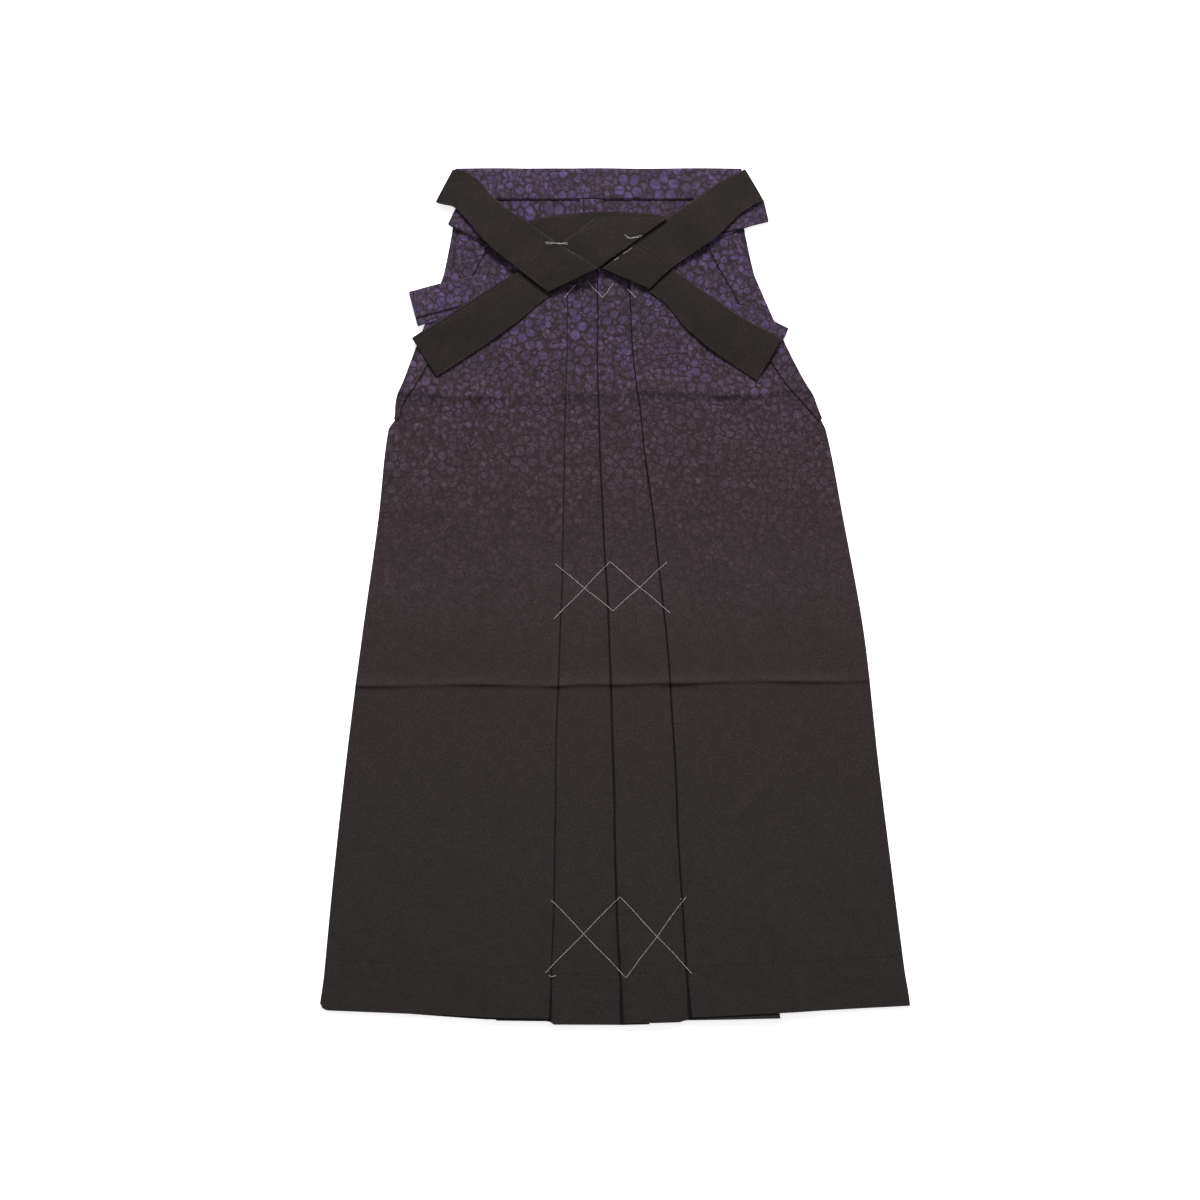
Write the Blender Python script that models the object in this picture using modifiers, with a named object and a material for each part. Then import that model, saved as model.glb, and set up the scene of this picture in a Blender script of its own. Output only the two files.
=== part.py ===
"""Women's undivided hakama laid flat on its back: each cut piece as its own cloth solid.

Metres, +Z up. The garment lies on the XY plane with its waist towards +Y and its hem
towards -Y, seen from the front. Left and right are those of someone looking down at it.
"""

from collections import namedtuple
from math import cos, pi, radians, sin

import bmesh
import bpy
import numpy as np
from mathutils import Vector
from mathutils.bvhtree import BVHTree

# Cloth
CLOTH = 0.0010  # wall of every panel
GAP = 0.0003  # clearance between pieces, and between the layers of a pleat
LAYER = CLOTH + GAP  # rise from one layer to the next
TURN_STEPS = 4  # facets round a pressed fold
SEAM_LIP = 0.0040  # how far a panel runs past its inner fold to the seam with the next

# Body: where the side edges and the three front pleat folds cross each row
Row = namedtuple("Row", "y left_side left_fold centre_fold right_fold right_side")
ROWS = (
    Row(0.4510, -0.1660, -0.0530, -0.0195, 0.0100, 0.1290),
    Row(0.4130, -0.1780, -0.0530, -0.0195, 0.0120, 0.1400),
    Row(0.3370, -0.2060, -0.0540, -0.0195, 0.0175, 0.1710),
    Row(0.2800, -0.2280, -0.0550, -0.0200, 0.0205, 0.1975),
    Row(0.2390, -0.2450, -0.0560, -0.0195, 0.0245, 0.2200),
    Row(0.2060, -0.2520, -0.0565, -0.0185, 0.0290, 0.2345),
    Row(0.1890, -0.2585, -0.0570, -0.0180, 0.0305, 0.2405),
    Row(0.0870, -0.2700, -0.0590, -0.0135, 0.0440, 0.2605),
    Row(-0.0500, -0.2890, -0.0625, -0.0065, 0.0590, 0.2850),
    Row(-0.1870, -0.3065, -0.0675, -0.0020, 0.0680, 0.3000),
    Row(-0.3240, -0.3215, -0.0690, 0.0010, 0.0750, 0.3170),
    Row(-0.4660, -0.3350, -0.0738, 0.0074, 0.0841, 0.3350),
)
BODY_ROWS = (
    0.3750, 0.3370, 0.2800, 0.2390, 0.2270, 0.2150, 0.2090, 0.2010, 0.1890, 0.0870, 0.0000,
    -0.0895, -0.1015, -0.1135, -0.2000, -0.3240, -0.4500,
)
AIBIKI = 0.1890  # where the side seams start, below the side openings
WAIST = 0.4130
HEM = -0.4800

# Depth of each pleat from its fold to the fold inside it, at the waist and at the hem
LEFT_DEPTH = (0.0280, 0.0660)
CENTRE_DEPTH = (0.0160, 0.0355)
RIGHT_DEPTH = (0.0400, 0.1070)
BACK_DEPTH = (0.0200, 0.0600)
BACK_FOLD = (-0.0200, 0.0000)  # x of the centre-back fold, at the waist and at the hem
BACK_STEP = 0.0080  # where the right back comes down beside that fold
SLOPE = 0.0450  # length over which a main panel comes down off its pleats
FOLD_CLEAR = 0.0040

# Pressed storage creases right across the front: height over the row, and half width
CREASE_HEIGHT = 0.0012
CREASE_HALF = 0.0120
CREASES = (0.2270, -0.1015)

# Hem of each panel, as x and y of its corners
BACK_LEFT_HEM = ((-0.3350, -0.4650), (-0.3270, -0.4700), (-0.1400, -0.4828), (0.02, -0.4810))
BACK_RIGHT_HEM = ((-0.08, -0.4815), (0.1900, -0.4730), (0.3350, -0.4650))
LEFT_HEM = ((-0.3350, -0.4665), (-0.3270, -0.4720), (-0.1390, -0.4795), (-0.0738, -0.4805))
CENTRE_LEFT_HEM = (
    (-0.1400, -0.4831), (-0.0745, -0.4839), (-0.0715, -0.4878), (0.0074, -0.4882), (0.0430, -0.4873),
)
CENTRE_RIGHT_HEM = ((0.0074, -0.4862), (0.0760, -0.4851), (0.0785, -0.4829), (0.1900, -0.4806))
RIGHT_HEM = ((0.0841, -0.4796), (0.1915, -0.4742), (0.3350, -0.4667))

# Side edges
EDGE_ROUND = 0.0020
BACK_INSET = 0.0032  # the back stops this far inside the front's rolled side edge
Leaf = namedtuple("Leaf", "y left right")
LEAF_WIDTHS = (  # width of the tapered side fold down each opening
    Leaf(0.4130, 0.0410, 0.0430),
    Leaf(0.3370, 0.0300, 0.0320),
    Leaf(0.2800, 0.0230, 0.0275),
    Leaf(0.2390, 0.0160, 0.0225),
    Leaf(0.2150, 0.0080, 0.0130),
    Leaf(0.2010, 0.0050, 0.0060),
)
LEAF_ROWS = (0.3750, 0.3370, 0.2800, 0.2390, 0.2270, 0.2150, 0.2090, 0.2010)
LEAF_LIFT = LAYER + 0.0002
MAIN_INSET = 0.0020  # the front stops here behind the side fold's rolled edge

# Waistbands
BACK_BAND_TOP = 0.4875
BACK_BAND_FOOT = 0.4514
BACK_BAND_LEFT, BACK_BAND_RIGHT = -0.1824, 0.1448
BACK_BAND_THICK = 0.0024
FRONT_BAND_THICK = 0.0020
FRONT_BAND_LEFT, FRONT_BAND_RIGHT = -0.1200, 0.0850
FRONT_BAND_OVER = 0.0060  # how far the band stands above the panels' top edges
FRONT_BAND_HEIGHT = 0.0340
BOW_HEIGHT, BOW_CENTRE, BOW_HALF = 0.0180, -0.0080, 0.1200  # rise of the front's top edge

# Folded ties, as sections along each one: centre, width, and how far its second edge
# leads its first. Lead is along the tie's own direction.
Cut = namedtuple("Cut", "x y width lead")
TIE_CLOTH = 0.0009
TIE_STEP = 0.0120
TIE_ACROSS = 6
TIES = {
    "back_tie_lower_left": (2, (
        Cut(-0.2297, 0.3266, 0.0415, 0.000),
        Cut(-0.1961, 0.3357, 0.0400, 0.000),
        Cut(-0.1425, 0.3511, 0.0340, 0.000),
    )),
    "back_tie_lower_right": (2, (
        Cut(0.1915, 0.2909, 0.0300, 0.000),
        Cut(0.1471, 0.3118, 0.0320, 0.000),
        Cut(0.0963, 0.3323, 0.0290, 0.000),
    )),
    "back_tie_upper_left": (2, (
        Cut(-0.1818, 0.4406, 0.0395, 0.000),
        Cut(-0.1545, 0.4269, 0.0440, 0.000),
        Cut(-0.1220, 0.4081, 0.0380, 0.000),
    )),
    "back_tie_upper_right": (2, (
        Cut(0.1725, 0.4389, 0.0250, -0.0046),
        Cut(0.1391, 0.4366, 0.0400, 0.000),
        Cut(0.0969, 0.4184, 0.0400, 0.000),
    )),
    "front_tie_lower_right": (3, (
        Cut(0.1759, 0.2685, 0.0560, 0.000),
        Cut(0.1350, 0.2931, 0.0513, 0.000),
        Cut(0.0986, 0.3194, 0.0473, 0.000),
        Cut(0.0667, 0.3483, 0.0370, 0.000),
        Cut(0.0285, 0.3747, 0.0390, 0.000),
        Cut(-0.0125, 0.4019, 0.0350, 0.000),
    )),
    "front_tie_upper_right": (3, (
        Cut(0.0120, 0.3600, 0.0523, -0.0260),
        Cut(0.0502, 0.3924, 0.0495, 0.000),
        Cut(0.0980, 0.4257, 0.0495, 0.000),
        Cut(0.1277, 0.4505, 0.0440, 0.000),
        Cut(0.1583, 0.4685, 0.0406, 0.000),
    )),
    "front_tie_lower_left": (3, (
        Cut(-0.2172, 0.2713, 0.0525, 0.000),
        Cut(-0.1693, 0.3023, 0.0520, 0.000),
        Cut(-0.1260, 0.3312, 0.0500, 0.000),
        Cut(-0.0855, 0.3591, 0.0430, 0.000),
        Cut(-0.0399, 0.3865, 0.0470, -0.0250),
        Cut(0.0194, 0.4298, 0.0500, -0.0640),
    )),
    "front_tie_upper_left": (3, (
        Cut(-0.0473, 0.3580, 0.0540, 0.0330),
        Cut(-0.0884, 0.3859, 0.0500, 0.000),
        Cut(-0.1174, 0.4081, 0.0480, 0.000),
        Cut(-0.1342, 0.4209, 0.0450, 0.000),
        Cut(-0.1547, 0.4418, 0.0395, 0.000),
        Cut(-0.1733, 0.4611, 0.0425, 0.000),
        Cut(-0.1947, 0.4668, 0.0414, 0.0100),
    )),
}
GROOVE = 0.0006  # depth of the joint between two layers at a tie's edge
EDGE_SHOULDER = 0.12  # share of a layer's wall over which its edge rounds off
SHOULDER_INSET = 0.4  # and of the groove's depth that it rounds by
END_ROUND = 0.0012
END_THICK = 0.45  # share of a tie's thickness left at its very ends
TIE_REACH = TIE_STEP * 1.1  # how far round a point a tie feels what it lies on
BAND_REACH = 0.0160  # and the front waistband
DROP_FROM = 0.1000
SETTLE_PASSES = 4

PATTERNED = (0.060, 0.045, 0.085, 1.0)
SHADED = (0.036, 0.028, 0.031, 1.0)
PLAIN = (0.031, 0.025, 0.023, 1.0)


def along(row_value, y):
    """A value of ROWS at height y."""
    rows = ROWS[::-1]
    return float(np.interp(y, [row.y for row in rows], [getattr(row, row_value) for row in rows]))


def taper(ends, y):
    """A size that changes evenly from the waist to the hem."""
    return float(np.interp(y, (HEM, WAIST), (ends[1], ends[0])))


def left_inner(y):
    return along("left_fold", y) - taper(LEFT_DEPTH, y)


def centre_inner(y):
    return along("centre_fold", y) + taper(CENTRE_DEPTH, y)


def right_inner(y):
    return along("right_fold", y) + taper(RIGHT_DEPTH, y)


def smooth(part):
    part = min(max(part, 0.0), 1.0)
    return part * part * (3 - 2 * part)


def level(count):
    """Middle height of the cloth that lies on this many layers."""
    return CLOTH / 2 + count * LAYER


def rise(x, y):
    """How far the lowest front layer stands above the side seams: two layers over the
    back's centre pleat, and the pressed creases."""
    clear = 0.010
    left = (x - along("left_side", y)) / (left_inner(y) - clear - along("left_side", y))
    right = (along("right_side", y) - x) / (along("right_side", y) - right_inner(y) - clear)
    fold = max(0.0, *(1 - abs(y - crease) / CREASE_HALF for crease in CREASES))
    return 2 * LAYER * min(smooth(left), smooth(right)) + CREASE_HEIGHT * fold


def front_top(x):
    """Top edge of the front panels, bowed up over the middle."""
    return WAIST + BOW_HEIGHT * max(0.0, 1 - ((x - BOW_CENTRE) / BOW_HALF) ** 2)


def edge_drop(inside, y):
    """How far the front rolls down to the back at its side edge, below the opening."""
    if inside >= EDGE_ROUND:
        return 0.0
    part = 1 - inside / EDGE_ROUND
    closed = smooth((AIBIKI + 0.020 - y) / 0.020)
    return closed * LAYER * (1 - (1 - part * part) ** 0.5)


class Path:
    """The course of one cloth section, as (x, z) points across the garment."""

    def __init__(self, y):
        self.y = y
        self.points = []

    def run(self, stops, height):
        """Points at the given x, each at height(x)."""
        self.points += [(x, height(x)) for x in stops]

    def turn(self, edge, facing, first, last):
        """A pressed fold whose outer face reaches edge, from one layer to another.
        facing is +1 when the fold points right."""
        radius = abs(last - first) / 2
        middle = edge - facing * (CLOTH / 2 + radius)
        up = 1 if last > first else -1
        for step in range(TURN_STEPS + 1):
            angle = -pi / 2 + pi * step / TURN_STEPS
            reach = radius * cos(angle)
            self.points.append((middle + facing * reach, (first + last) / 2 + up * radius * sin(angle)))


def evenly(start, stop, count):
    return [start + (stop - start) * step / (count - 1) for step in range(count)]


def over(layers, y):
    """Height of a front layer with this many others under it, anywhere on row y."""
    return lambda x: level(layers) + rise(x, y)


def main_height(x, y, side, facing, inner):
    """Height of a main panel, which comes down off its pleat towards its side edge."""
    lift = smooth((SLOPE - facing * (inner - x)) / (SLOPE - FOLD_CLEAR))
    return level(1 + 2 * lift) + rise(x, y) - edge_drop(facing * (x - side), y)


def main_stops(y, side_name, facing, inner):
    """The x of a main panel's points, from its side edge to the start of its fold."""
    side = along(side_name, y)
    inset = CLOTH / 2 + (MAIN_INSET - CLOTH / 2) * smooth((y - AIBIKI) / 0.012)
    start = side + facing * inset
    flat = inner - facing * SLOPE
    stops = [start, start + facing * 0.0006, start + facing * EDGE_ROUND]
    stops += evenly(start + facing * 0.012, flat, 5)
    stops += evenly(flat, inner - facing * FOLD_CLEAR, 4)[1:]
    return stops


def front_left(y):
    path = Path(y)
    inner, fold = left_inner(y), along("left_fold", y)
    side = along("left_side", y) + CLOTH / 2
    path.run(main_stops(y, "left_side", 1, inner), lambda x: main_height(x, y, side, 1, inner))
    path.run([(inner + fold) / 2], over(3, y))
    path.turn(fold, 1, over(3, y)(fold), over(2, y)(fold))
    path.run([(inner + fold) / 2], over(2, y))
    path.turn(inner, -1, over(2, y)(inner), over(1, y)(inner))
    path.run([inner + SEAM_LIP], over(1, y))
    return path.points


def front_centre_left(y):
    path = Path(y)
    start = left_inner(y) + SEAM_LIP + GAP
    fold, end = along("left_fold", y), centre_inner(y) - SEAM_LIP - GAP
    path.run([start, fold - 0.0005, fold + 0.0025], over(1, y))
    path.run(evenly(fold + 0.0025, end, 5)[1:], over(1, y))
    return path.points


def front_centre_right(y):
    path = Path(y)
    inner, fold = centre_inner(y), along("centre_fold", y)
    under, end = along("right_fold", y), right_inner(y) - SEAM_LIP - GAP
    path.run([inner - SEAM_LIP], over(1, y))
    path.turn(inner, 1, over(1, y)(inner), over(2, y)(inner))
    path.turn(fold, -1, over(2, y)(fold), over(3, y)(fold))
    start, stop = inner + 0.0010, under - FOLD_CLEAR
    down = evenly(start, stop, 5)
    path.run(down, lambda x: over(3 - 2 * smooth((x - start) / (stop - start)), y)(x))
    path.run([under + 0.0025, (under + end) / 2, end], over(1, y))
    return path.points


def front_right(y):
    path = Path(y)
    inner, fold = right_inner(y), along("right_fold", y)
    side = along("right_side", y) - CLOTH / 2
    path.run([inner - SEAM_LIP], over(1, y))
    path.turn(inner, 1, over(1, y)(inner), over(2, y)(inner))
    path.run([(inner + fold) / 2], over(2, y))
    path.turn(fold, -1, over(2, y)(fold), over(3, y)(fold))
    path.run([(inner + fold) / 2], over(3, y))
    stops = main_stops(y, "right_side", -1, inner)
    path.run(stops[::-1], lambda x: main_height(x, y, side, -1, inner))
    return path.points


def back_edge(side_name, facing, y):
    """The back's side edge: inside the front's rolled edge, and flush at the opening."""
    closed = smooth((AIBIKI + 0.020 - y) / 0.020)
    return along(side_name, y) + facing * (0.0008 + (BACK_INSET - 0.0008) * closed)


def back_left(y):
    path = Path(y)
    fold = taper(BACK_FOLD, y)
    inner = fold - taper(BACK_DEPTH, y)
    path.run([back_edge("left_side", 1, y), inner], lambda x: level(0))
    path.turn(fold, 1, level(0), level(1))
    path.turn(inner, -1, level(1), level(2))
    path.run([inner + SEAM_LIP], lambda x: level(2))
    return path.points


def back_right(y):
    path = Path(y)
    fold = taper(BACK_FOLD, y)
    start = fold - taper(BACK_DEPTH, y) + SEAM_LIP + GAP
    path.run([start, fold], lambda x: level(2))
    for step in range(1, 5):
        part = step / 4
        path.run([fold + 0.0004 + BACK_STEP * part], lambda x: level(2 - 2 * smooth(part)))
    path.run([back_edge("right_side", -1, y)], lambda x: level(0))
    return path.points


def side_fold(side_name, facing):
    """The tapered fold that lies on the front beside the opening, rolled at its edge."""
    column = "left" if facing > 0 else "right"
    widths = LEAF_WIDTHS[::-1]
    inner_name = left_inner if facing > 0 else right_inner

    def section(y):
        path = Path(y)
        side = along(side_name, y)
        width = np.interp(y, [leaf.y for leaf in widths], [getattr(leaf, column) for leaf in widths])
        inner = inner_name(y)
        edge = side + facing * CLOTH / 2

        def height(x):
            return main_height(x, y, edge - facing * EDGE_ROUND, facing, inner) + LEAF_LIFT

        middle = side + facing * (CLOTH / 2 + LEAF_LIFT / 2)
        path.run(evenly(side + facing * float(width), middle, 4)[:-1], height)
        path.turn(side, -facing, height(middle), height(middle) - LEAF_LIFT)
        return path.points

    return section


def body_rows(section, top, hem, rows):
    """Rows of points down a panel: its top edge, the shared rows, and its own hem.
    hem and top give y at any x."""
    grid = []
    for y in (WAIST, *rows, HEM):
        points = []
        for x, z in section(y):
            place = top(x) if y == WAIST else hem(x) if y == HEM else y
            points.append((x, place, z))
        grid.append(points)
    return grid


def hem_line(corners):
    xs, ys = zip(*corners)
    return lambda x: float(np.interp(x, xs, ys))


def material(name, colour):
    made = bpy.data.materials.new(name)
    made.use_nodes = True
    shader = made.node_tree.nodes["Principled BSDF"]
    shader.inputs["Base Color"].default_value = colour
    shader.inputs["Roughness"].default_value = 0.85
    shader.inputs["Metallic"].default_value = 0.0
    made.diffuse_color = colour
    return made


def grid_object(name, grid, colour):
    """An open surface through rows of points, all of the same length."""
    mesh = bpy.data.meshes.new(name)
    surface = bmesh.new()
    bmesh.ops.create_grid(surface, x_segments=len(grid[0]) - 1, y_segments=len(grid) - 1, size=0.5)
    ordered = sorted(surface.verts, key=lambda vert: (-round(vert.co.y, 6), round(vert.co.x, 6)))
    for vert, place in zip(ordered, (point for row in grid for point in row)):
        vert.co = place
    surface.to_mesh(mesh)
    surface.free()
    made = bpy.data.objects.new(name, mesh)
    made.data.materials.append(material(name, colour))
    HAKAMA.objects.link(made)
    return made


def cloth(name, grid, colour, thickness=CLOTH):
    """A panel: an open surface in the middle of its wall, thickened both ways."""
    made = grid_object(name, grid, colour)
    wall = made.modifiers.new("Wall", "SOLIDIFY")
    wall.thickness = thickness
    wall.offset = 0
    wall.use_even_offset = True
    return made


class Pile:
    """What is laid down so far, for the next piece to rest on."""

    ring = [
        (cos(radians(30 * turn)) * far, sin(radians(30 * turn)) * far)
        for turn in range(12)
        for far in (0.35, 0.7, 1.0)
    ]

    def __init__(self):
        self.surfaces = []

    def add(self, obj):
        bpy.context.view_layer.update()
        self.surfaces.append(BVHTree.FromObject(obj, bpy.context.evaluated_depsgraph_get()))

    def top(self, x, y, reach):
        """Greatest height within reach of a point."""
        best = 0.0
        for across, down in [(0, 0), *self.ring]:
            start = Vector((x + across * reach, y + down * reach, DROP_FROM))
            for surface in self.surfaces:
                hit = surface.ray_cast(start, Vector((0, 0, -1)))[0]
                if hit is not None:
                    best = max(best, hit.z)
        return best

    def rest(self, grid, reach):
        """Heights for a grid of (x, y) points lying on the pile, eased so that a thick
        fold bridges small steps instead of following them."""
        need = np.array([[self.top(x, y, reach) for x, y in row] for row in grid]) + GAP
        heights = need.copy()
        for _ in range(SETTLE_PASSES):
            padded = np.pad(heights, 1, mode="edge")
            near = padded[:-2, 1:-1] + padded[2:, 1:-1] + padded[1:-1, :-2] + padded[1:-1, 2:]
            heights = np.maximum(need, near / 4)
        return heights


def bent(cuts):
    """Sections every TIE_STEP along a smooth line through the cuts: centre, direction,
    width and lead."""
    table = np.array(cuts)
    ends = np.vstack([2 * table[0] - table[1], table, 2 * table[-1] - table[-2]])
    fine = []
    for first in range(len(table) - 1):
        before, start, stop, after = ends[first : first + 4]
        steps = max(2, round(float(np.hypot(*(stop - start)[:2])) / TIE_STEP))
        for step in range(steps):
            t = step / steps
            fine.append(0.5 * (
                2 * start
                + (stop - before) * t
                + (2 * before - 5 * start + 4 * stop - after) * t**2
                + (3 * start - before - 3 * stop + after) * t**3
            ))
    fine = np.array([*fine, table[-1]])
    headings = np.gradient(fine[:, :2], axis=0)
    headings /= np.linalg.norm(headings, axis=1)[:, None]
    return fine, headings


def tie(name, layers, cuts, colour, pile):
    """A tie folded back and forth into one flat rounded pack, its layers showing as
    grooves along its edges, laid on the pile."""
    fine, headings = bent(cuts)
    thick = layers * TIE_CLOTH
    shares = evenly(-0.5, 0.5, TIE_ACROSS)
    spread = []
    for (x, y, width, lead), (go_x, go_y) in zip(fine, headings):
        spread.append([
            (x - go_y * width * share + go_x * lead * share, y + go_x * width * share + go_y * lead * share)
            for share in shares
        ])
    lows = pile.rest(spread, TIE_REACH)
    grid = [
        tie_ring(places, low, thick, layers, END_ROUND * heading * end)
        for places, low, heading, end in zip(
            spread, lows, headings, [1, *[0] * (len(spread) - 2), -1]
        )
    ]
    first = squeezed(tie_ring(spread[0], lows[0], thick, layers, 0 * headings[0]))
    last = squeezed(tie_ring(spread[-1], lows[-1], thick, layers, 0 * headings[-1]))
    made = grid_object(name, [first, *grid, last], colour)
    closed = bmesh.new()
    closed.from_mesh(made.data)
    bmesh.ops.remove_doubles(closed, verts=closed.verts, dist=1e-6)
    bmesh.ops.holes_fill(closed, edges=[edge for edge in closed.edges if edge.is_boundary])
    bmesh.ops.recalc_face_normals(closed, faces=closed.faces)
    closed.to_mesh(made.data)
    closed.free()
    return made


def tie_ring(places, lows, thick, layers, shift):
    """One closed section of a folded tie, round from its first edge along its underside."""
    edge = [Vector((*place, low)) for place, low in zip(places, lows)]
    out = (edge[-1] - edge[0]).normalized()
    out.z = 0
    wall = thick / layers
    shoulder, shy = wall * EDGE_SHOULDER, GROOVE * SHOULDER_INSET
    joints = [(shoulder, shy)]
    for layer in range(layers):
        if layer:
            joints.append((layer * wall, GROOVE))
        joints.append(((layer + 0.5) * wall, 0.0))
    joints.append((thick - shoulder, shy))
    ring = [point + out * (GROOVE if number == 0 else 0) for number, point in enumerate(edge[:-1])]
    ring.append(edge[-1] - out * GROOVE)
    ring += [edge[-1] - out * inset + Vector((0, 0, up)) for up, inset in joints]
    lid = [point + Vector((0, 0, thick)) for point in edge]
    lid[0], lid[-1] = lid[0] + out * GROOVE, lid[-1] - out * GROOVE
    ring += lid[::-1]
    ring += [edge[0] + out * inset + Vector((0, 0, up)) for up, inset in joints[::-1]]
    ring.append(ring[0])
    return [point + Vector((*shift, 0)) for point in ring]


def squeezed(ring):
    """The same section at a tie's very end, where its folds round it off."""
    middle = sum((point.z for point in ring), 0.0) / len(ring)
    return [Vector((point.x, point.y, middle + (point.z - middle) * END_THICK)) for point in ring]


def front_waistband(pile):
    """The dark band over the top edges of the front panels, bowed with them."""
    xs = evenly(FRONT_BAND_LEFT, FRONT_BAND_RIGHT, 14)
    drops = evenly(0, FRONT_BAND_HEIGHT, 5)
    places = [[(x, front_top(x) + FRONT_BAND_OVER - drop) for x in xs] for drop in drops]
    lows = pile.rest(places, BAND_REACH)
    return [
        [(x, y, low + FRONT_BAND_THICK / 2) for (x, y), low in zip(row, heights)]
        for row, heights in zip(places, lows)
    ]


def back_waistband():
    """The patterned band at the top of the back: one flat folded strip."""
    xs = evenly(BACK_BAND_LEFT, BACK_BAND_RIGHT, 3)
    ys = (BACK_BAND_TOP, BACK_BAND_FOOT)
    return [[(x, y, BACK_BAND_THICK / 2) for x in xs] for y in ys]


def build():
    pile = Pile()
    bodies = (
        ("back_left", back_left, hem_line(BACK_LEFT_HEM), SHADED),
        ("back_right", back_right, hem_line(BACK_RIGHT_HEM), SHADED),
        ("front_centre_left", front_centre_left, hem_line(CENTRE_LEFT_HEM), SHADED),
        ("front_centre_right", front_centre_right, hem_line(CENTRE_RIGHT_HEM), SHADED),
        ("front_left", front_left, hem_line(LEFT_HEM), SHADED),
        ("front_right", front_right, hem_line(RIGHT_HEM), SHADED),
    )
    for name, section, hem, colour in bodies:
        back = name.startswith("back")
        top = (lambda x: BACK_BAND_FOOT - GAP) if back else front_top
        rows = (AIBIKI + 0.020, AIBIKI, *[row.y for row in ROWS[7:-1]]) if back else BODY_ROWS
        rows = (WAIST - 0.0001, *rows) if back else rows
        pile.add(cloth(name, body_rows(section, top, hem, rows), colour))
    pile.add(cloth("back_waistband", back_waistband(), PATTERNED, BACK_BAND_THICK))
    for name, side_name, facing in (
        ("side_fold_left", "left_side", 1),
        ("side_fold_right", "right_side", -1),
    ):
        section = side_fold(side_name, facing)
        grid = [[(x, front_top(x), z) for x, z in section(WAIST)]]
        grid += [[(x, y, z) for x, z in section(y)] for y in LEAF_ROWS]
        pile.add(cloth(name, grid, PATTERNED))
    for name in ("back_tie_lower_left", "back_tie_lower_right"):
        pile.add(tie(name, *TIES[name], PATTERNED, pile))
    pile.add(cloth("front_waistband", front_waistband(pile), PLAIN, FRONT_BAND_THICK))
    for name in ("back_tie_upper_left", "back_tie_upper_right"):
        pile.add(tie(name, *TIES[name], PATTERNED, pile))
    for name in (
        "front_tie_lower_right", "front_tie_upper_right", "front_tie_lower_left", "front_tie_upper_left",
    ):
        pile.add(tie(name, *TIES[name], PLAIN, pile))


for old in list(bpy.data.objects):
    bpy.data.objects.remove(old)
HAKAMA = bpy.data.collections.new("Hakama")
bpy.context.scene.collection.children.link(HAKAMA)
build()
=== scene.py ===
"""The looks of an undivided hakama laid flat: pleated panels, side folds, waistbands,
folded ties and basting threads. Metres, +Z up, waist towards +Y, seen from above."""

from collections import namedtuple
from math import cos, pi, sin

import bmesh
import bpy
import numpy as np
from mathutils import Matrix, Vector
from mathutils.bvhtree import BVHTree


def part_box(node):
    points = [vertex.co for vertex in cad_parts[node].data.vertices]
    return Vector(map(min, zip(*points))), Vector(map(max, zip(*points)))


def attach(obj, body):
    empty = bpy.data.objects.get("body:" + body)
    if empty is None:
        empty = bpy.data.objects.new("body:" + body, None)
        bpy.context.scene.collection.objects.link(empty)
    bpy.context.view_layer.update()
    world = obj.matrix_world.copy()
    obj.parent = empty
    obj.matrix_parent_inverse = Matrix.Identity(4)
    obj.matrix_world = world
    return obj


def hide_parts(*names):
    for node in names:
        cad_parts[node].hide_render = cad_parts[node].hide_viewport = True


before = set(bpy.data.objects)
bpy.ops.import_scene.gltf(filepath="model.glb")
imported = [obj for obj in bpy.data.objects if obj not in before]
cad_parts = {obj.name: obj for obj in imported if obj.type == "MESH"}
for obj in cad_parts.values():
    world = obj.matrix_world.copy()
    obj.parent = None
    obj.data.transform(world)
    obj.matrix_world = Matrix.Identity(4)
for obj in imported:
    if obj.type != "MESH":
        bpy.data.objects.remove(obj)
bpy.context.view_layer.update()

# Cloth
CLOTH = 0.0010  # wall of each solid, which sets how high the layers lie
GAP = 0.0003
LAYER = CLOTH + GAP  # rise from one layer to the next
WALL = 0.0008  # wall of the finished cloth
TURN_STEPS = 8  # facets round a pressed fold
SEAM_LIP = 0.0040  # how far a panel runs past its inner fold to the seam with the next
WEFT = 0.0040  # spacing of a panel's columns
WARP = 0.0040  # spacing of its rows
FINE_WARP = 0.0011  # and across the storage creases and the turned hem
FINE_ROWS = ((0.2500, 0.2140), (-0.0820, -0.1160), (-0.4050, -0.4330), (-0.4700, -0.4800))
SAME_PLACE = 0.00005  # columns nearer than this are one
PANEL_SHARP, PACK_SHARP = 0.7, 1.0  # angles from which an edge is shaded as sharp

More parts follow.
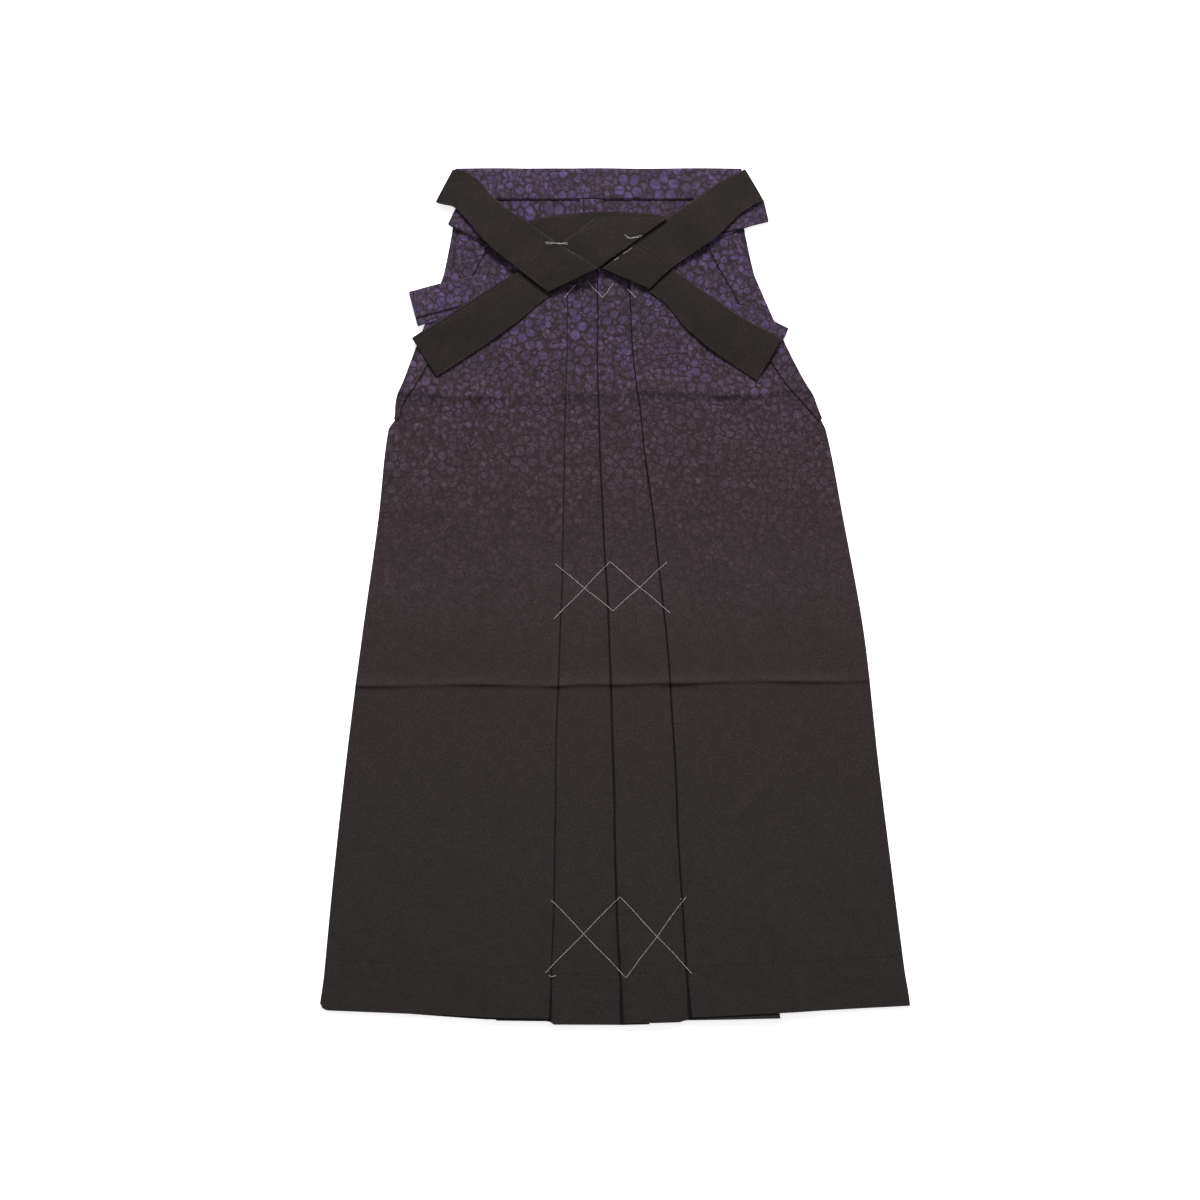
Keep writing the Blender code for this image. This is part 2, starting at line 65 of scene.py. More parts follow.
# Body: where the side edges and the three front pleat folds cross each row
Row = namedtuple("Row", "y left_side left_fold centre_fold right_fold right_side")
ROWS = (
    Row(0.4510, -0.1660, -0.0530, -0.0195, 0.0100, 0.1290),
    Row(0.4130, -0.1780, -0.0530, -0.0195, 0.0120, 0.1400),
    Row(0.3370, -0.2060, -0.0540, -0.0195, 0.0175, 0.1710),
    Row(0.2800, -0.2280, -0.0550, -0.0200, 0.0205, 0.1975),
    Row(0.2390, -0.2435, -0.0560, -0.0195, 0.0245, 0.2190),
    Row(0.2280, -0.2485, -0.0561, -0.0192, 0.0258, 0.2262),
    Row(0.2150, -0.2506, -0.0563, -0.0188, 0.0278, 0.2310),
    Row(0.2060, -0.2508, -0.0565, -0.0185, 0.0290, 0.2345),
    Row(0.1890, -0.2585, -0.0570, -0.0180, 0.0305, 0.2405),
    Row(0.0870, -0.2700, -0.0590, -0.0135, 0.0440, 0.2605),
    Row(-0.0500, -0.2890, -0.0625, -0.0065, 0.0590, 0.2850),
    Row(-0.1870, -0.3065, -0.0675, -0.0020, 0.0680, 0.3000),
    Row(-0.3240, -0.3215, -0.0690, 0.0010, 0.0750, 0.3170),
    Row(-0.4660, -0.3350, -0.0738, 0.0074, 0.0841, 0.3350),
    Row(-0.4900, -0.3372, -0.0748, 0.0084, 0.0856, 0.3376),
)
AIBIKI = 0.1890  # where the side seams start, below the side openings
CLOSING = 0.0200  # height over which the sides close there
WAIST = 0.4130
HEM = -0.4800
EDGE_REACH = 0.0600  # rows this near a panel's ends bend to its top and hem lines

# Depth of each pleat from its fold to the fold inside it, at the waist and at the hem
LEFT_DEPTH = (0.0280, 0.0660)
CENTRE_DEPTH = (0.0160, 0.0355)
RIGHT_DEPTH = (0.0400, 0.1070)
BACK_DEPTH = (0.0200, 0.0600)
BACK_FOLD = (-0.0200, 0.0000)  # x of the centre-back fold, at the waist and at the hem
BACK_STEP = 0.0080  # where the right back comes down beside that fold
BACK_CLEAR = 0.0004  # and how far from it that starts
BACK_WEFT = 0.0010  # spacing of the columns there
SLOPE = 0.0450  # length over which a main panel comes down off its pleats
SLOPE_START = 0.0010  # where the centre panel starts down, past its inner fold
FOLD_CLEAR = 0.0040
RISE_CLEAR = 0.0100  # the lowest layers are level this far from the inner folds

# Hem of each panel, as x and y of its corners
BACK_LEFT_HEM = ((-0.3350, -0.4650), (-0.3270, -0.4700), (-0.1400, -0.4828), (0.02, -0.4810))
BACK_RIGHT_HEM = ((-0.08, -0.4815), (0.1900, -0.4730), (0.3350, -0.4650))
LEFT_HEM = (
    (-0.3350, -0.4650), (-0.3338, -0.4688), (-0.3305, -0.4712), (-0.3260, -0.4721),
    (-0.1390, -0.4795), (-0.0738, -0.4805),
)
CENTRE_LEFT_HEM = (
    (-0.1400, -0.4831), (-0.0745, -0.4839), (-0.0715, -0.4878), (0.0074, -0.4882),
    (0.0430, -0.4873),
)
CENTRE_RIGHT_HEM = ((0.0074, -0.4862), (0.0760, -0.4851), (0.0785, -0.4829), (0.1900, -0.4806))
RIGHT_HEM = ((0.0841, -0.4796), (0.1915, -0.4742), (0.3350, -0.4667))
HEM_TURN = 0.0570  # height of the turned hem
HEM_EASE = 0.0015  # height over which the cloth comes down off it
HEM_STEP = 0.0003  # how far its extra layer lifts the cloth
HEM_SPRING = 0.0014  # how far a hem that peeks out under another springs up
SPRING_REACH = 0.0030
SPRUNG_HEMS = {  # such hems, the hem over each, and the x between which it shows
    "back_left": (LEFT_HEM, -0.3200, -0.1420),
    "front_centre_right": (RIGHT_HEM, 0.0870, 0.1890),
}

# Side edges
EDGE_ROUND = 0.0020
BACK_INSET, OPEN_INSET = 0.0032, 0.0008  # of the back, below the side openings and beside them
Leaf = namedtuple("Leaf", "y left right")
LEAF_WIDTHS = (  # width of the tapered side fold down each opening
    Leaf(0.4130, 0.0410, 0.0430),
    Leaf(0.3370, 0.0300, 0.0320),
    Leaf(0.2800, 0.0230, 0.0275),
    Leaf(0.2390, 0.0160, 0.0225),
    Leaf(0.2150, 0.0080, 0.0130),
    Leaf(0.2010, 0.0050, 0.0060),
)
LEAF_FOOT = 0.2010
LEAF_ROWS, LEAF_WEFT = 54, 0.0025
LEAF_LIFT = LAYER + 0.0002
MAIN_INSET = 0.0020  # the front stops here behind the side fold's rolled edge
INSET_EASE = 0.0120  # height over which it draws back to there

# Painted shade lines beside the pressed folds
FOLDS_OVER = {  # the folds that lie on each front panel or are its own
    "front_left": ("left_fold",),
    "front_centre_left": ("left_fold", "centre_fold"),
    "front_centre_right": ("centre_fold", "right_fold"),
    "front_right": ("right_fold",),
}
FOLD_CRISP = {"left_fold": 1.15, "centre_fold": 0.80, "right_fold": 0.90}  # the more, the finer
WANDER = {  # height, turn and phase of each fold's slight unevenness
    "left_fold": (0.0005, 37.0, 0.6),
    "centre_fold": (0.0004, 43.0, 2.1),
    "right_fold": (0.0006, 33.0, 4.4),
}
WANDER_SLOW = 0.37  # it swells and dies away this much more slowly than it turns

# Waistbands
BACK_BAND_FOOT = 0.4514
BAND_TUCK = 0.0006  # how far the back goes up into its band
BAND_RIM, BAND_FOOT_RIM = 0.0006, 0.0004  # a band's round edge stands out past its plan
BAND_INSIDE = 0.0020  # its heights are read this far inside it
BAND_CRISP = 2.0  # fineness of the dark line at its foot: a seam, with painted shade where the band meets the body
BAND_SEAM_SHADE_UP = 0.0007  # and how far over its foot that line's middle is
BAND_GRIDS = {"back_waistband": (10, 80), "front_waistband": (10, 60)}  # rows and columns
FRONT_BAND_OVER = 0.0060
FRONT_BAND_HEIGHT = 0.0340
BOW_HEIGHT, BOW_CENTRE, BOW_HALF = 0.0180, -0.0080, 0.1200  # rise of the front's top edge

# Creases: ends, half width and height of each soft ridge
Crease = namedtuple("Crease", "x0 y0 x1 y1 half height")
CREASES = (
    # the fold of storage under the waist
    Crease(-0.2550, 0.2330, -0.1500, 0.2290, 0.0140, 0.00340),
    Crease(-0.1650, 0.2300, -0.0500, 0.2270, 0.0150, 0.00320),
    Crease(-0.0560, 0.2290, 0.0300, 0.2280, 0.0130, 0.00240),
    Crease(0.0200, 0.2330, 0.1300, 0.2310, 0.0150, 0.00330),
    Crease(0.1150, 0.2310, 0.2450, 0.2360, 0.0150, 0.00400),
    # and the one below the middle
    Crease(-0.3150, -0.1010, -0.0600, -0.1010, 0.0070, 0.00290),
    Crease(-0.0750, -0.1015, 0.0050, -0.1000, 0.0070, 0.00240),
    Crease(-0.0110, -0.1005, 0.0750, -0.0985, 0.0070, 0.00260),
    Crease(0.0550, -0.0985, 0.3100, -0.0950, 0.0070, 0.00290),
    # soft folds from handling
    Crease(0.2109, -0.1482, 0.1402, -0.2531, 0.0160, 0.00220),
    Crease(-0.2100, 0.1900, -0.2450, 0.0300, 0.0220, 0.00060),
    Crease(-0.1350, 0.1500, -0.1600, -0.0500, 0.0260, 0.00055),
    Crease(0.1250, 0.1700, 0.1900, 0.0100, 0.0240, 0.00060),
    Crease(0.2150, 0.1500, 0.2400, -0.0200, 0.0200, 0.00055),
    Crease(-0.1500, -0.1600, -0.1900, -0.4300, 0.0280, 0.00060),
    Crease(-0.2500, -0.1700, -0.2700, -0.3800, 0.0240, 0.00050),
    Crease(0.2200, -0.2400, 0.2600, -0.4400, 0.0280, 0.00060),
)
CREASE_ABOVE, CREASE_BELOW = 0.85, 0.35  # each crest is round on its upper side, steep below
CREASE_SWAY, CREASE_TURNS = 0.15, 31.0  # its sideways sway, as a share of its half width
CREASE_SWELL, SWELL_TURNS = 0.25, 47.0  # and the rise and fall of its crest
CREASE_END = 0.0300  # length over which it dies out
BACK_CREASES = (
    Crease(-0.2400, 0.2300, 0.2300, 0.2320, 0.0050, 0.00035),
    Crease(-0.3000, -0.1015, 0.2900, -0.0960, 0.0045, 0.00040),
    Crease(-0.1700, 0.1500, -0.2100, -0.0600, 0.0260, 0.00020),
    Crease(0.1500, 0.0800, 0.2000, -0.2200, 0.0260, 0.00020),
    Crease(-0.1300, -0.2000, -0.1700, -0.4200, 0.0260, 0.00020),
)
Wave = namedtuple("Wave", "across down phase height")
WAVES = (  # turns per metre across and down, and height, of the cloth's slow unevenness
    Wave(6.1, 2.3, 0.4, 0.00024),
    Wave(11.7, -3.1, 1.9, 0.00016),
    Wave(4.3, 7.9, 2.6, 0.00020),
    Wave(-17.3, 5.3, 0.9, 0.00009),
    Wave(9.1, 13.7, 4.2, 0.00010),
    Wave(23.9, 8.3, 5.1, 0.00004),
)

# Folded ties, as sections along each one: centre, width, and how far its second edge
# leads its first. shows is the line along which an edge beneath shows through; a dark
# line of painted shade is drawn along it.
Cut = namedtuple("Cut", "x y width lead")
Tie = namedtuple("Tie", "node layers shows cuts")
TIE_STEP = 0.0020
TIE_ACROSS = 25
EDGE_STEP = 0.0007  # how far the cloth comes down across such a line
EDGE_SOFT = 0.0012  # width of that step
EDGE_FADE = 0.0200  # and how far past it the cloth is level again
NO_EDGE = ((9.0, 9.0), (9.0, 9.1))  # a line far from every tie
READ_INSIDE = 0.0030  # a tie's heights are read this far inside its edges
CLEAR_ABOVE = 0.2  # a height that nothing reaches, to look down from
DOWN = Vector((0, 0, -1))
HEIGHT_PASSES = 16  # rounds of smoothing of the heights of a tie or a band
TIES = (
    Tie("back_tie_lower_left", 2, ((-0.1904, 0.3256), (-0.2273, 0.3158)), (
        Cut(-0.2297, 0.3266, 0.0415, 0.000),
        Cut(-0.1961, 0.3357, 0.0400, 0.000),
        Cut(-0.1425, 0.3511, 0.0340, 0.000),
    )),
    Tie("back_tie_lower_right", 2, NO_EDGE, (
        Cut(0.1915, 0.2909, 0.0300, 0.000),
        Cut(0.1471, 0.3118, 0.0320, 0.000),
        Cut(0.0963, 0.3323, 0.0290, 0.000),
    )),
    Tie("back_tie_upper_left", 2, ((-0.1450, 0.4003), (-0.1822, 0.4188)), (
        Cut(-0.1818, 0.4406, 0.0395, 0.000),
        Cut(-0.1545, 0.4269, 0.0440, 0.000),
        Cut(-0.1220, 0.4081, 0.0380, 0.000),
    )),
    Tie("back_tie_upper_right", 2, ((0.1725, 0.4238), (0.1394, 0.4168)), (
        Cut(0.1725, 0.4389, 0.0250, -0.0046),
        Cut(0.1391, 0.4366, 0.0400, 0.000),
        Cut(0.0969, 0.4184, 0.0400, 0.000),
    )),
    Tie("front_tie_lower_right", 3, NO_EDGE, (
        Cut(0.1759, 0.2685, 0.0560, 0.000),
        Cut(0.1350, 0.2931, 0.0513, 0.000),
        Cut(0.0986, 0.3194, 0.0473, 0.000),
        Cut(0.0667, 0.3483, 0.0370, 0.000),
        Cut(0.0285, 0.3747, 0.0390, 0.000),
        Cut(-0.0125, 0.4019, 0.0350, 0.000),
    )),
    Tie("front_tie_upper_right", 3, ((0.0228, 0.4001), (0.0627, 0.3730)), (
        Cut(0.0120, 0.3600, 0.0523, -0.0260),
        Cut(0.0502, 0.3924, 0.0495, 0.000),
        Cut(0.0980, 0.4257, 0.0495, 0.000),
        Cut(0.1277, 0.4505, 0.0440, 0.000),
        Cut(0.1583, 0.4685, 0.0406, 0.000),
    )),
    Tie("front_tie_lower_left", 3, ((-0.0570, 0.4036), (-0.0274, 0.4230)), (
        Cut(-0.2172, 0.2713, 0.0525, 0.000),
        Cut(-0.1693, 0.3023, 0.0520, 0.000),
        Cut(-0.1260, 0.3312, 0.0500, 0.000),
        Cut(-0.0855, 0.3591, 0.0430, 0.000),
        Cut(-0.0399, 0.3865, 0.0470, -0.0250),
        Cut(0.0194, 0.4298, 0.0500, -0.0640),
    )),
    Tie("front_tie_upper_left", 3, ((-0.0992, 0.3739), (-0.0775, 0.3922)), (
        Cut(-0.0473, 0.3580, 0.0540, 0.0330),
        Cut(-0.0884, 0.3859, 0.0500, 0.000),
        Cut(-0.1174, 0.4081, 0.0480, 0.000),
        Cut(-0.1342, 0.4209, 0.0450, 0.000),
        Cut(-0.1547, 0.4418, 0.0395, 0.000),
        Cut(-0.1733, 0.4611, 0.0425, 0.000),
        Cut(-0.1947, 0.4668, 0.0414, 0.0100),
    )),
)
EDGE_BULGE_STEPS = 4  # points round each layer at a tie's edge
GROOVE = 0.0006  # depth of the joint between two layers there
GROOVE_OUT = 0.35  # share of a layer's bulge that lies inside the outline
TIE_TRIM = 0.9  # a tie's plan is drawn in by this share of the groove
EDGE_STRAY = 0.0003  # unevenness of each layer's edge
TIE_SWELL = 0.00012  # and of a tie's face
UNDER_SHIFT, RING_SHIFT = 0.0130, 0.0009  # where the weave of the underside and edges starts
TIE_SHIFT, BAND_SHIFT = 0.37, 0.77  # where the print of a tie, by its seed, and a band starts
TIE_SEED, SEED_STEP, BAND_SEED = 1.0, 1.7, 3.1  # each pack's edges and face differ by its seed
BAND_LAYERS = 2

# Cut size of what shows of each piece, width by length, and its area where it tapers
Flat = namedtuple("Flat", "width length area")
FLATS = {
    "back_left": Flat(0.455, 0.93, 0.287),
    "back_right": Flat(0.395, 0.93, 0.285),
    "front_left": Flat(0.405, 0.91, 0.241),
    "front_centre_left": Flat(0.180, 0.92, 0.110),
    "front_centre_right": Flat(0.245, 0.92, 0.146),
    "front_right": Flat(0.480, 0.91, 0.264),
    "side_fold_left": Flat(0.045, 0.26, 0.006),
    "side_fold_right": Flat(0.045, 0.26, 0.007),
}

# Print. A Fade is the two ends of a measure, and the strength at each.
Fade = namedtuple("Fade", "low high start stop")
Cloud = namedtuple("Cloud", "scale detail fade")  # unevenness of a print, a weave or a dye
PETAL_ANGLE = 2 * pi / 5
PETAL_PLACE = 0.60  # how far out a petal's middle is, as a share of the blossom's radius
PETAL_HALF = 0.335  # half a petal's width, as a share of it
PETAL_LONG = 0.72  # the less, the longer its petals
PETAL_RIM = Fade(-0.13, 0.03, 1.0, 0.0)  # across a petal's edge
PETAL_VEIN = Fade(0.01, 0.09, 0.66, 1.0)  # away from its middle line
HEART = Fade(0.09, 0.15, 0.9, 0.0)  # out from a blossom's middle
CLEARING = Fade(0.04, 0.14, 1.0, 0.0)  # nothing else is printed this near its petals
CLEAR_HEART = Fade(0.3, 0.5, 1.0, 0.0)  # or between them
OVAL_RIM = Fade(0.40, 0.64, 1.0, 0.0)
OVAL_GAP = Fade(0.02, 0.17, 0.0, 1.0)  # away from the line between two ovals
OVAL_STRAY = 0.85
BLOSSOM_SIZE, BLOSSOM_STRENGTH = (0.78, 0.35), (0.50, 0.35)  # least, and the most chance adds
LEAF_STRENGTH, BUD_STRENGTH = (0.50, 0.50), (0.20, 0.40)
LEAF_VIOLET = 0.62
BLOSSOM_PRINTS = (
    {"Pitch": 0.0260, "Radius": 0.0112, "Share": 0.55},
    {"Pitch": 0.0390, "Radius": 0.0160, "Share": 0.85},
)
LEAF_PRINT = {"Pitch": 0.0088, "Slim": 1.75}
BUD_PRINT = {"Pitch": 0.0057, "Slim": 1.25}
SWAYS = ((22.0, 0.0060), (200.0, 0.0042))  # scale and reach of the print's unevenness
PRINT_CLOUDS = (
    Cloud(130.0, 3.0, Fade(0.3, 0.7, 0.48, 1.18)),
    Cloud(46.0, 2.0, Fade(0.32, 0.68, 0.66, 1.28)),
)

# Weave, and wear with painted highlight
SLUB_STRETCHES = ((1300.0, 190.0, 1.0), (170.0, 1500.0, 1.0))  # of each way's uneven threads
SLUB_SHADE = Fade(0.72, 1.28, 0.84, 1.16)
WEAVE_CLOUDS = (
    Cloud(420.0, 3.0, Fade(0.3, 0.7, 0.78, 1.22)),
    Cloud(75.0, 3.0, Fade(0.3, 0.7, 0.92, 1.08)),
)
WEAVE_BUMP = {"Strength": 0.35, "Distance": 0.0002}
PLAIN_PATCHES = (Cloud(34.0, 3.0, Fade(0.28, 0.72, 0.0, 1.0)),)
WORN_HIGHLIGHT_EDGE = Fade(0.0004, 0.0014, 1.0, 0.0)  # in from the edge of a plain pack, which is worn and painted lighter as a highlight
WORN_HIGHLIGHT_PATCHES = (Cloud(260.0, 2.0, Fade(0.40, 0.62, 0.0, 1.0)),)
WORN_HIGHLIGHT = 0.45

# Dark lines of painted shade: beside the pressed folds and along the turned hem, then along edges
# beneath the packs and at the bands' feet
NO_TURN = -1.0  # where there is no turned hem
FOLD_SHADE_LINES = {"Width": 0.0013, "Dark": 0.18, "Turned": HEM_TURN}
FLOWERED_SHADE_LINES = {"Width": 0.0016, "Dark": 0.22, "Turned": NO_TURN}
PLAIN_SHADE_LINES = {"Width": 0.0009, "Dark": 0.45, "Turned": NO_TURN}
LINE_FADE = (0.45, 1.25)  # shares of its width between which a line fades out
OPEN_HEM = Fade(-0.4400, -0.4700, 1.0, 1.9)  # the painted shadow lines beside the folds widen towards the hem, where the folds gape
FINE_WAIST = Fade(0.3000, -0.2000, 0.65, 1.0)  # and are finer towards the waist
# painted shade along the top of the turned hem
HEM_LINE = Fade(0.0004, 0.0018, 0.70, 1.0)

# Basting
THREAD_RADIUS = 0.00032
THREAD_STEP = 0.0020  # length of a thread's straight pieces
THREAD_SWAY, THREAD_TURN = 0.0004, 9.0  # how far it wanders, and how often
THREAD_LIE = 0.6  # its middle lies this share of its radius over the cloth
THREAD_SUNK = 0.0002  # and its ends go this far in
THREAD_PASSES = 3  # rounds that pull it straight over dips
STITCH_RADIUS = 0.00022
STITCH_LIE = 0.3
HEM_STITCH = (0.0062, 0.0011)  # spacing and length of the blind stitches that show
HEM_STITCH_LINES = (  # each hem, and the x between which it is stitched
    (LEFT_HEM, -0.3240, -0.0770),
    (CENTRE_LEFT_HEM, -0.0680, 0.0030),
    (CENTRE_RIGHT_HEM, 0.0110, 0.0780),
    (RIGHT_HEM, 0.0880, 0.3260),
)
STITCH_LINE_STEP = 0.0060
BAND_STITCH = (0.0040, 0.0012)
BAND_STITCHES_UP = 0.0022  # height of the back band's stitches over its foot
BAND_STITCHES_IN = (0.0500, 0.0400)  # and how far in from its ends they start
BAND_STITCH_POINTS = 60
MIDDLE_BASTING = (
    ((-0.0684, 0.0365), (-0.0023, -0.0171), (0.0593, 0.0388)),
    ((-0.0695, -0.0262), (-0.0057, 0.0388), (0.0627, -0.0194)),
)
LOWER_BASTING = (
    ((-0.0730, -0.3454), (0.0125, -0.4343), (0.0809, -0.3420)),
    ((-0.0792, -0.4286), (0.0057, -0.3420), (0.0878, -0.4298)),
)
TOP_BASTING = (
    ((-0.0445, 0.3545), (-0.0584, 0.3386)),
    ((-0.0319, 0.3591), (-0.0143, 0.3386), (-0.0014, 0.3557)),
    ((0.0143, 0.3495), (0.0235, 0.3386)),
)
TIE_THREADS = (
    ((-0.0798, 0.4013), (-0.0541, 0.3990)),
    ((-0.0790, 0.3994), (-0.0655, 0.4001), (-0.0535, 0.4006)),
    ((0.0107, 0.4093), (0.0171, 0.4047), (0.0319, 0.4087)),
    ((0.0130, 0.4058), (0.0290, 0.4064)),
    ((0.0196, 0.3950), (0.0090, 0.3876)),
    ((0.0040, 0.3842), (-0.0010, 0.3800)),
)
KNOT_TAIL = ((-0.0673, -0.4321), (-0.0730, -0.4332), (-0.0752, -0.4309))
LOOSE_END = ((0.0741, -0.3443), (0.0762, -0.3452))

# Stage
FLOOR_HALF = 6.0
FLOOR_DROP = 0.0003  # how far it lies under the cloth
WORLD_LIGHT = 0.29
LAMPS = (  # name, place, size and watts
    ("key", (0.25, 4.5, 3.4), 1.5, 520.0),
    ("overhead", (0.0, -0.1, 3.4), 3.2, 18.0),
)
VIEW = (-0.0171, -0.0046)  # what the camera looks straight down at
VIEW_WIDTH = 1.368
FLOOR_GLOW = 0.6  # the surface is lit from beneath, so it stays white beside the hem
LENS = 80.0
SENSOR = 36.0


def srgb(red, green, blue):
    """Linear colour of an 8-bit one."""
    shares = [value / 255 for value in (red, green, blue)]
    return (*[s / 12.92 if s <= 0.04045 else ((s + 0.055) / 1.055) ** 2.4 for s in shares], 1.0)


# Colours of the cloths and threads
WHITE = (1.0, 1.0, 1.0, 1.0)
GROUND = srgb(43, 35, 43)
MAUVE = srgb(81, 64, 74)  # leaves and buds
VIOLET = srgb(77, 65, 112)  # blossoms
BODY_SPAN = (-0.48, 0.43)
BODY_GROUND = (  # the body's ground, from the lower end of that span to its upper end
    (0.00, srgb(35, 31, 30)),
    (0.25, srgb(38, 33, 32)),
    (0.50, srgb(43, 35, 35)),
    (0.70, srgb(40, 31, 33)),
    (0.85, srgb(39, 31, 35)),
    (1.00, srgb(39, 31, 38)),
)
FADE_SPAN = (-0.08, 0.36)
BODY_FADE = ((0.00, 0.0), (0.30, 0.26), (0.60, 0.60), (0.85, 0.90), (1.00, 1.0))  # of its print
VIOLET_FADE = Fade(0.13, 0.37, 0.16, 1.0)  # and of the violet in it
# the last is the worn edges' lighter colour, a painted highlight
PLAIN_DARK, PLAIN_PALE, PLAIN_WORN_HIGHLIGHT = srgb(28, 24, 22), srgb(33, 27, 25), srgb(62, 54, 56)
COTTON_DARK, COTTON_PALE = srgb(126, 120, 120), srgb(168, 162, 162)
SEWING_DARK, SEWING_PALE = srgb(34, 29, 29), srgb(58, 50, 52)
COTTON_TWIST, SEWING_TWIST = 900.0, 2500.0  # scale of each thread's ply
COTTON_ROUGH, SEWING_ROUGH = 0.9, 0.7
CLOTH_LOOK = {
    "Roughness": 0.86,
    "Sheen Weight": 0.08,
    "Sheen Roughness": 0.45,
    "Sheen Tint": srgb(190, 180, 200),
    "Specular IOR Level": 0.15,
}
FLOOR_LOOK = {
    "Base Color": (0.94, 0.94, 0.94, 1.0),
    "Roughness": 0.9,
    "Emission Color": WHITE,
    "Emission Strength": FLOOR_GLOW,
}


# --- Nodes -----------------------------------------------------------------------------


def put(tree, kind, inputs=None, **settings):
    """A new node, its settings, and its inputs as values or as the sockets that feed them."""
    made = tree.nodes.new(kind)
    for name, value in settings.items():
        setattr(made, name, value)
    for key, value in (inputs or {}).items():
        if isinstance(value, bpy.types.NodeSocket):
            tree.links.new(value, made.inputs[key])
        else:
            made.inputs[key].default_value = value
    return made


def calc(tree, operation, first, second=0.0, third=0.0):
    """A Math node's output."""
    inputs = {0: first, 1: second, 2: third}
    return put(tree, "ShaderNodeMath", inputs, operation=operation).outputs[0]


def vector_calc(tree, operation, *inputs):
    """A Vector Math node's outputs."""
    return put(tree, "ShaderNodeVectorMath", dict(enumerate(inputs)), operation=operation).outputs


def parts(tree, vector):
    """A vector's x, y and z."""
    return put(tree, "ShaderNodeSeparateXYZ", {0: vector}).outputs


def remap(tree, value, low, high, start=0.0, stop=1.0):
    """Smooth change from start to stop as value goes from low to high."""
    inputs = {"Value": value, "From Min": low, "From Max": high, "To Min": start, "To Max": stop}
    made = put(tree, "ShaderNodeMapRange", inputs, interpolation_type="SMOOTHSTEP")
    return made.outputs["Result"]


def blend(tree, factor, first, second, mode="MIX"):
    """A colour Mix node's output."""
    inputs = {0: factor, 6: first, 7: second}
    return put(tree, "ShaderNodeMix", inputs, data_type="RGBA", blend_type=mode).outputs[2]


def noise(tree, vector, scale, detail=2.0):
    """A noise's outputs."""
    inputs = {"Vector": vector, "Scale": scale, "Detail": detail}
    return put(tree, "ShaderNodeTexNoise", inputs).outputs


def clouded(tree, vector, clouds, strength=None):
    """A strength made uneven by some clouds, or their own unevenness."""
    for cloud in clouds:
        here = noise(tree, vector, cloud.scale, cloud.detail)["Fac"]
        here = remap(tree, here, *cloud.fade)
        strength = here if strength is None else calc(tree, "MULTIPLY", strength, here)
    return strength


def chance(tree, luck, amounts):
    """A chance value from the least amount to that and the most it adds."""
    least, more = amounts
    return calc(tree, "MULTIPLY_ADD", luck, more, least)


def node_group(name, inputs, outputs):
    """A shader group with named sockets, as (tree, input sockets, output node)."""
    tree = bpy.data.node_groups.new(name, "ShaderNodeTree")
    kinds = {"vector": "NodeSocketVector", "value": "NodeSocketFloat"}
    for label, kind, start in inputs:
        socket = tree.interface.new_socket(name=label, in_out="INPUT", socket_type=kinds[kind])
        if start is not None:
            socket.default_value = start
    for label, kind in outputs:
        tree.interface.new_socket(name=label, in_out="OUTPUT", socket_type=kinds[kind])
    return tree, tree.nodes.new("NodeGroupInput").outputs, tree.nodes.new("NodeGroupOutput")


def use(tree, group, inputs):
    """The outputs of a group placed in a tree."""
    return put(tree, "ShaderNodeGroup", inputs, node_tree=group).outputs


def cells(tree, vector, pitch, stray, feature="F1"):
    """Cells over the cloth about a pitch apart."""
    inputs = {"Vector": vector, "Scale": calc(tree, "DIVIDE", 1.0, pitch), "Randomness": stray}
    made = put(
        tree, "ShaderNodeTexVoronoi", inputs, voronoi_dimensions="2D", feature=feature
    )
    return made.outputs


def in_cell(tree, vector, found):
    """How far a point is from its cell's middle, and the cell's three chance values."""
    offset = vector_calc(tree, "SUBTRACT", vector, found["Position"])[0]
    return offset, put(tree, "ShaderNodeSeparateColor", {0: found["Color"]}).outputs


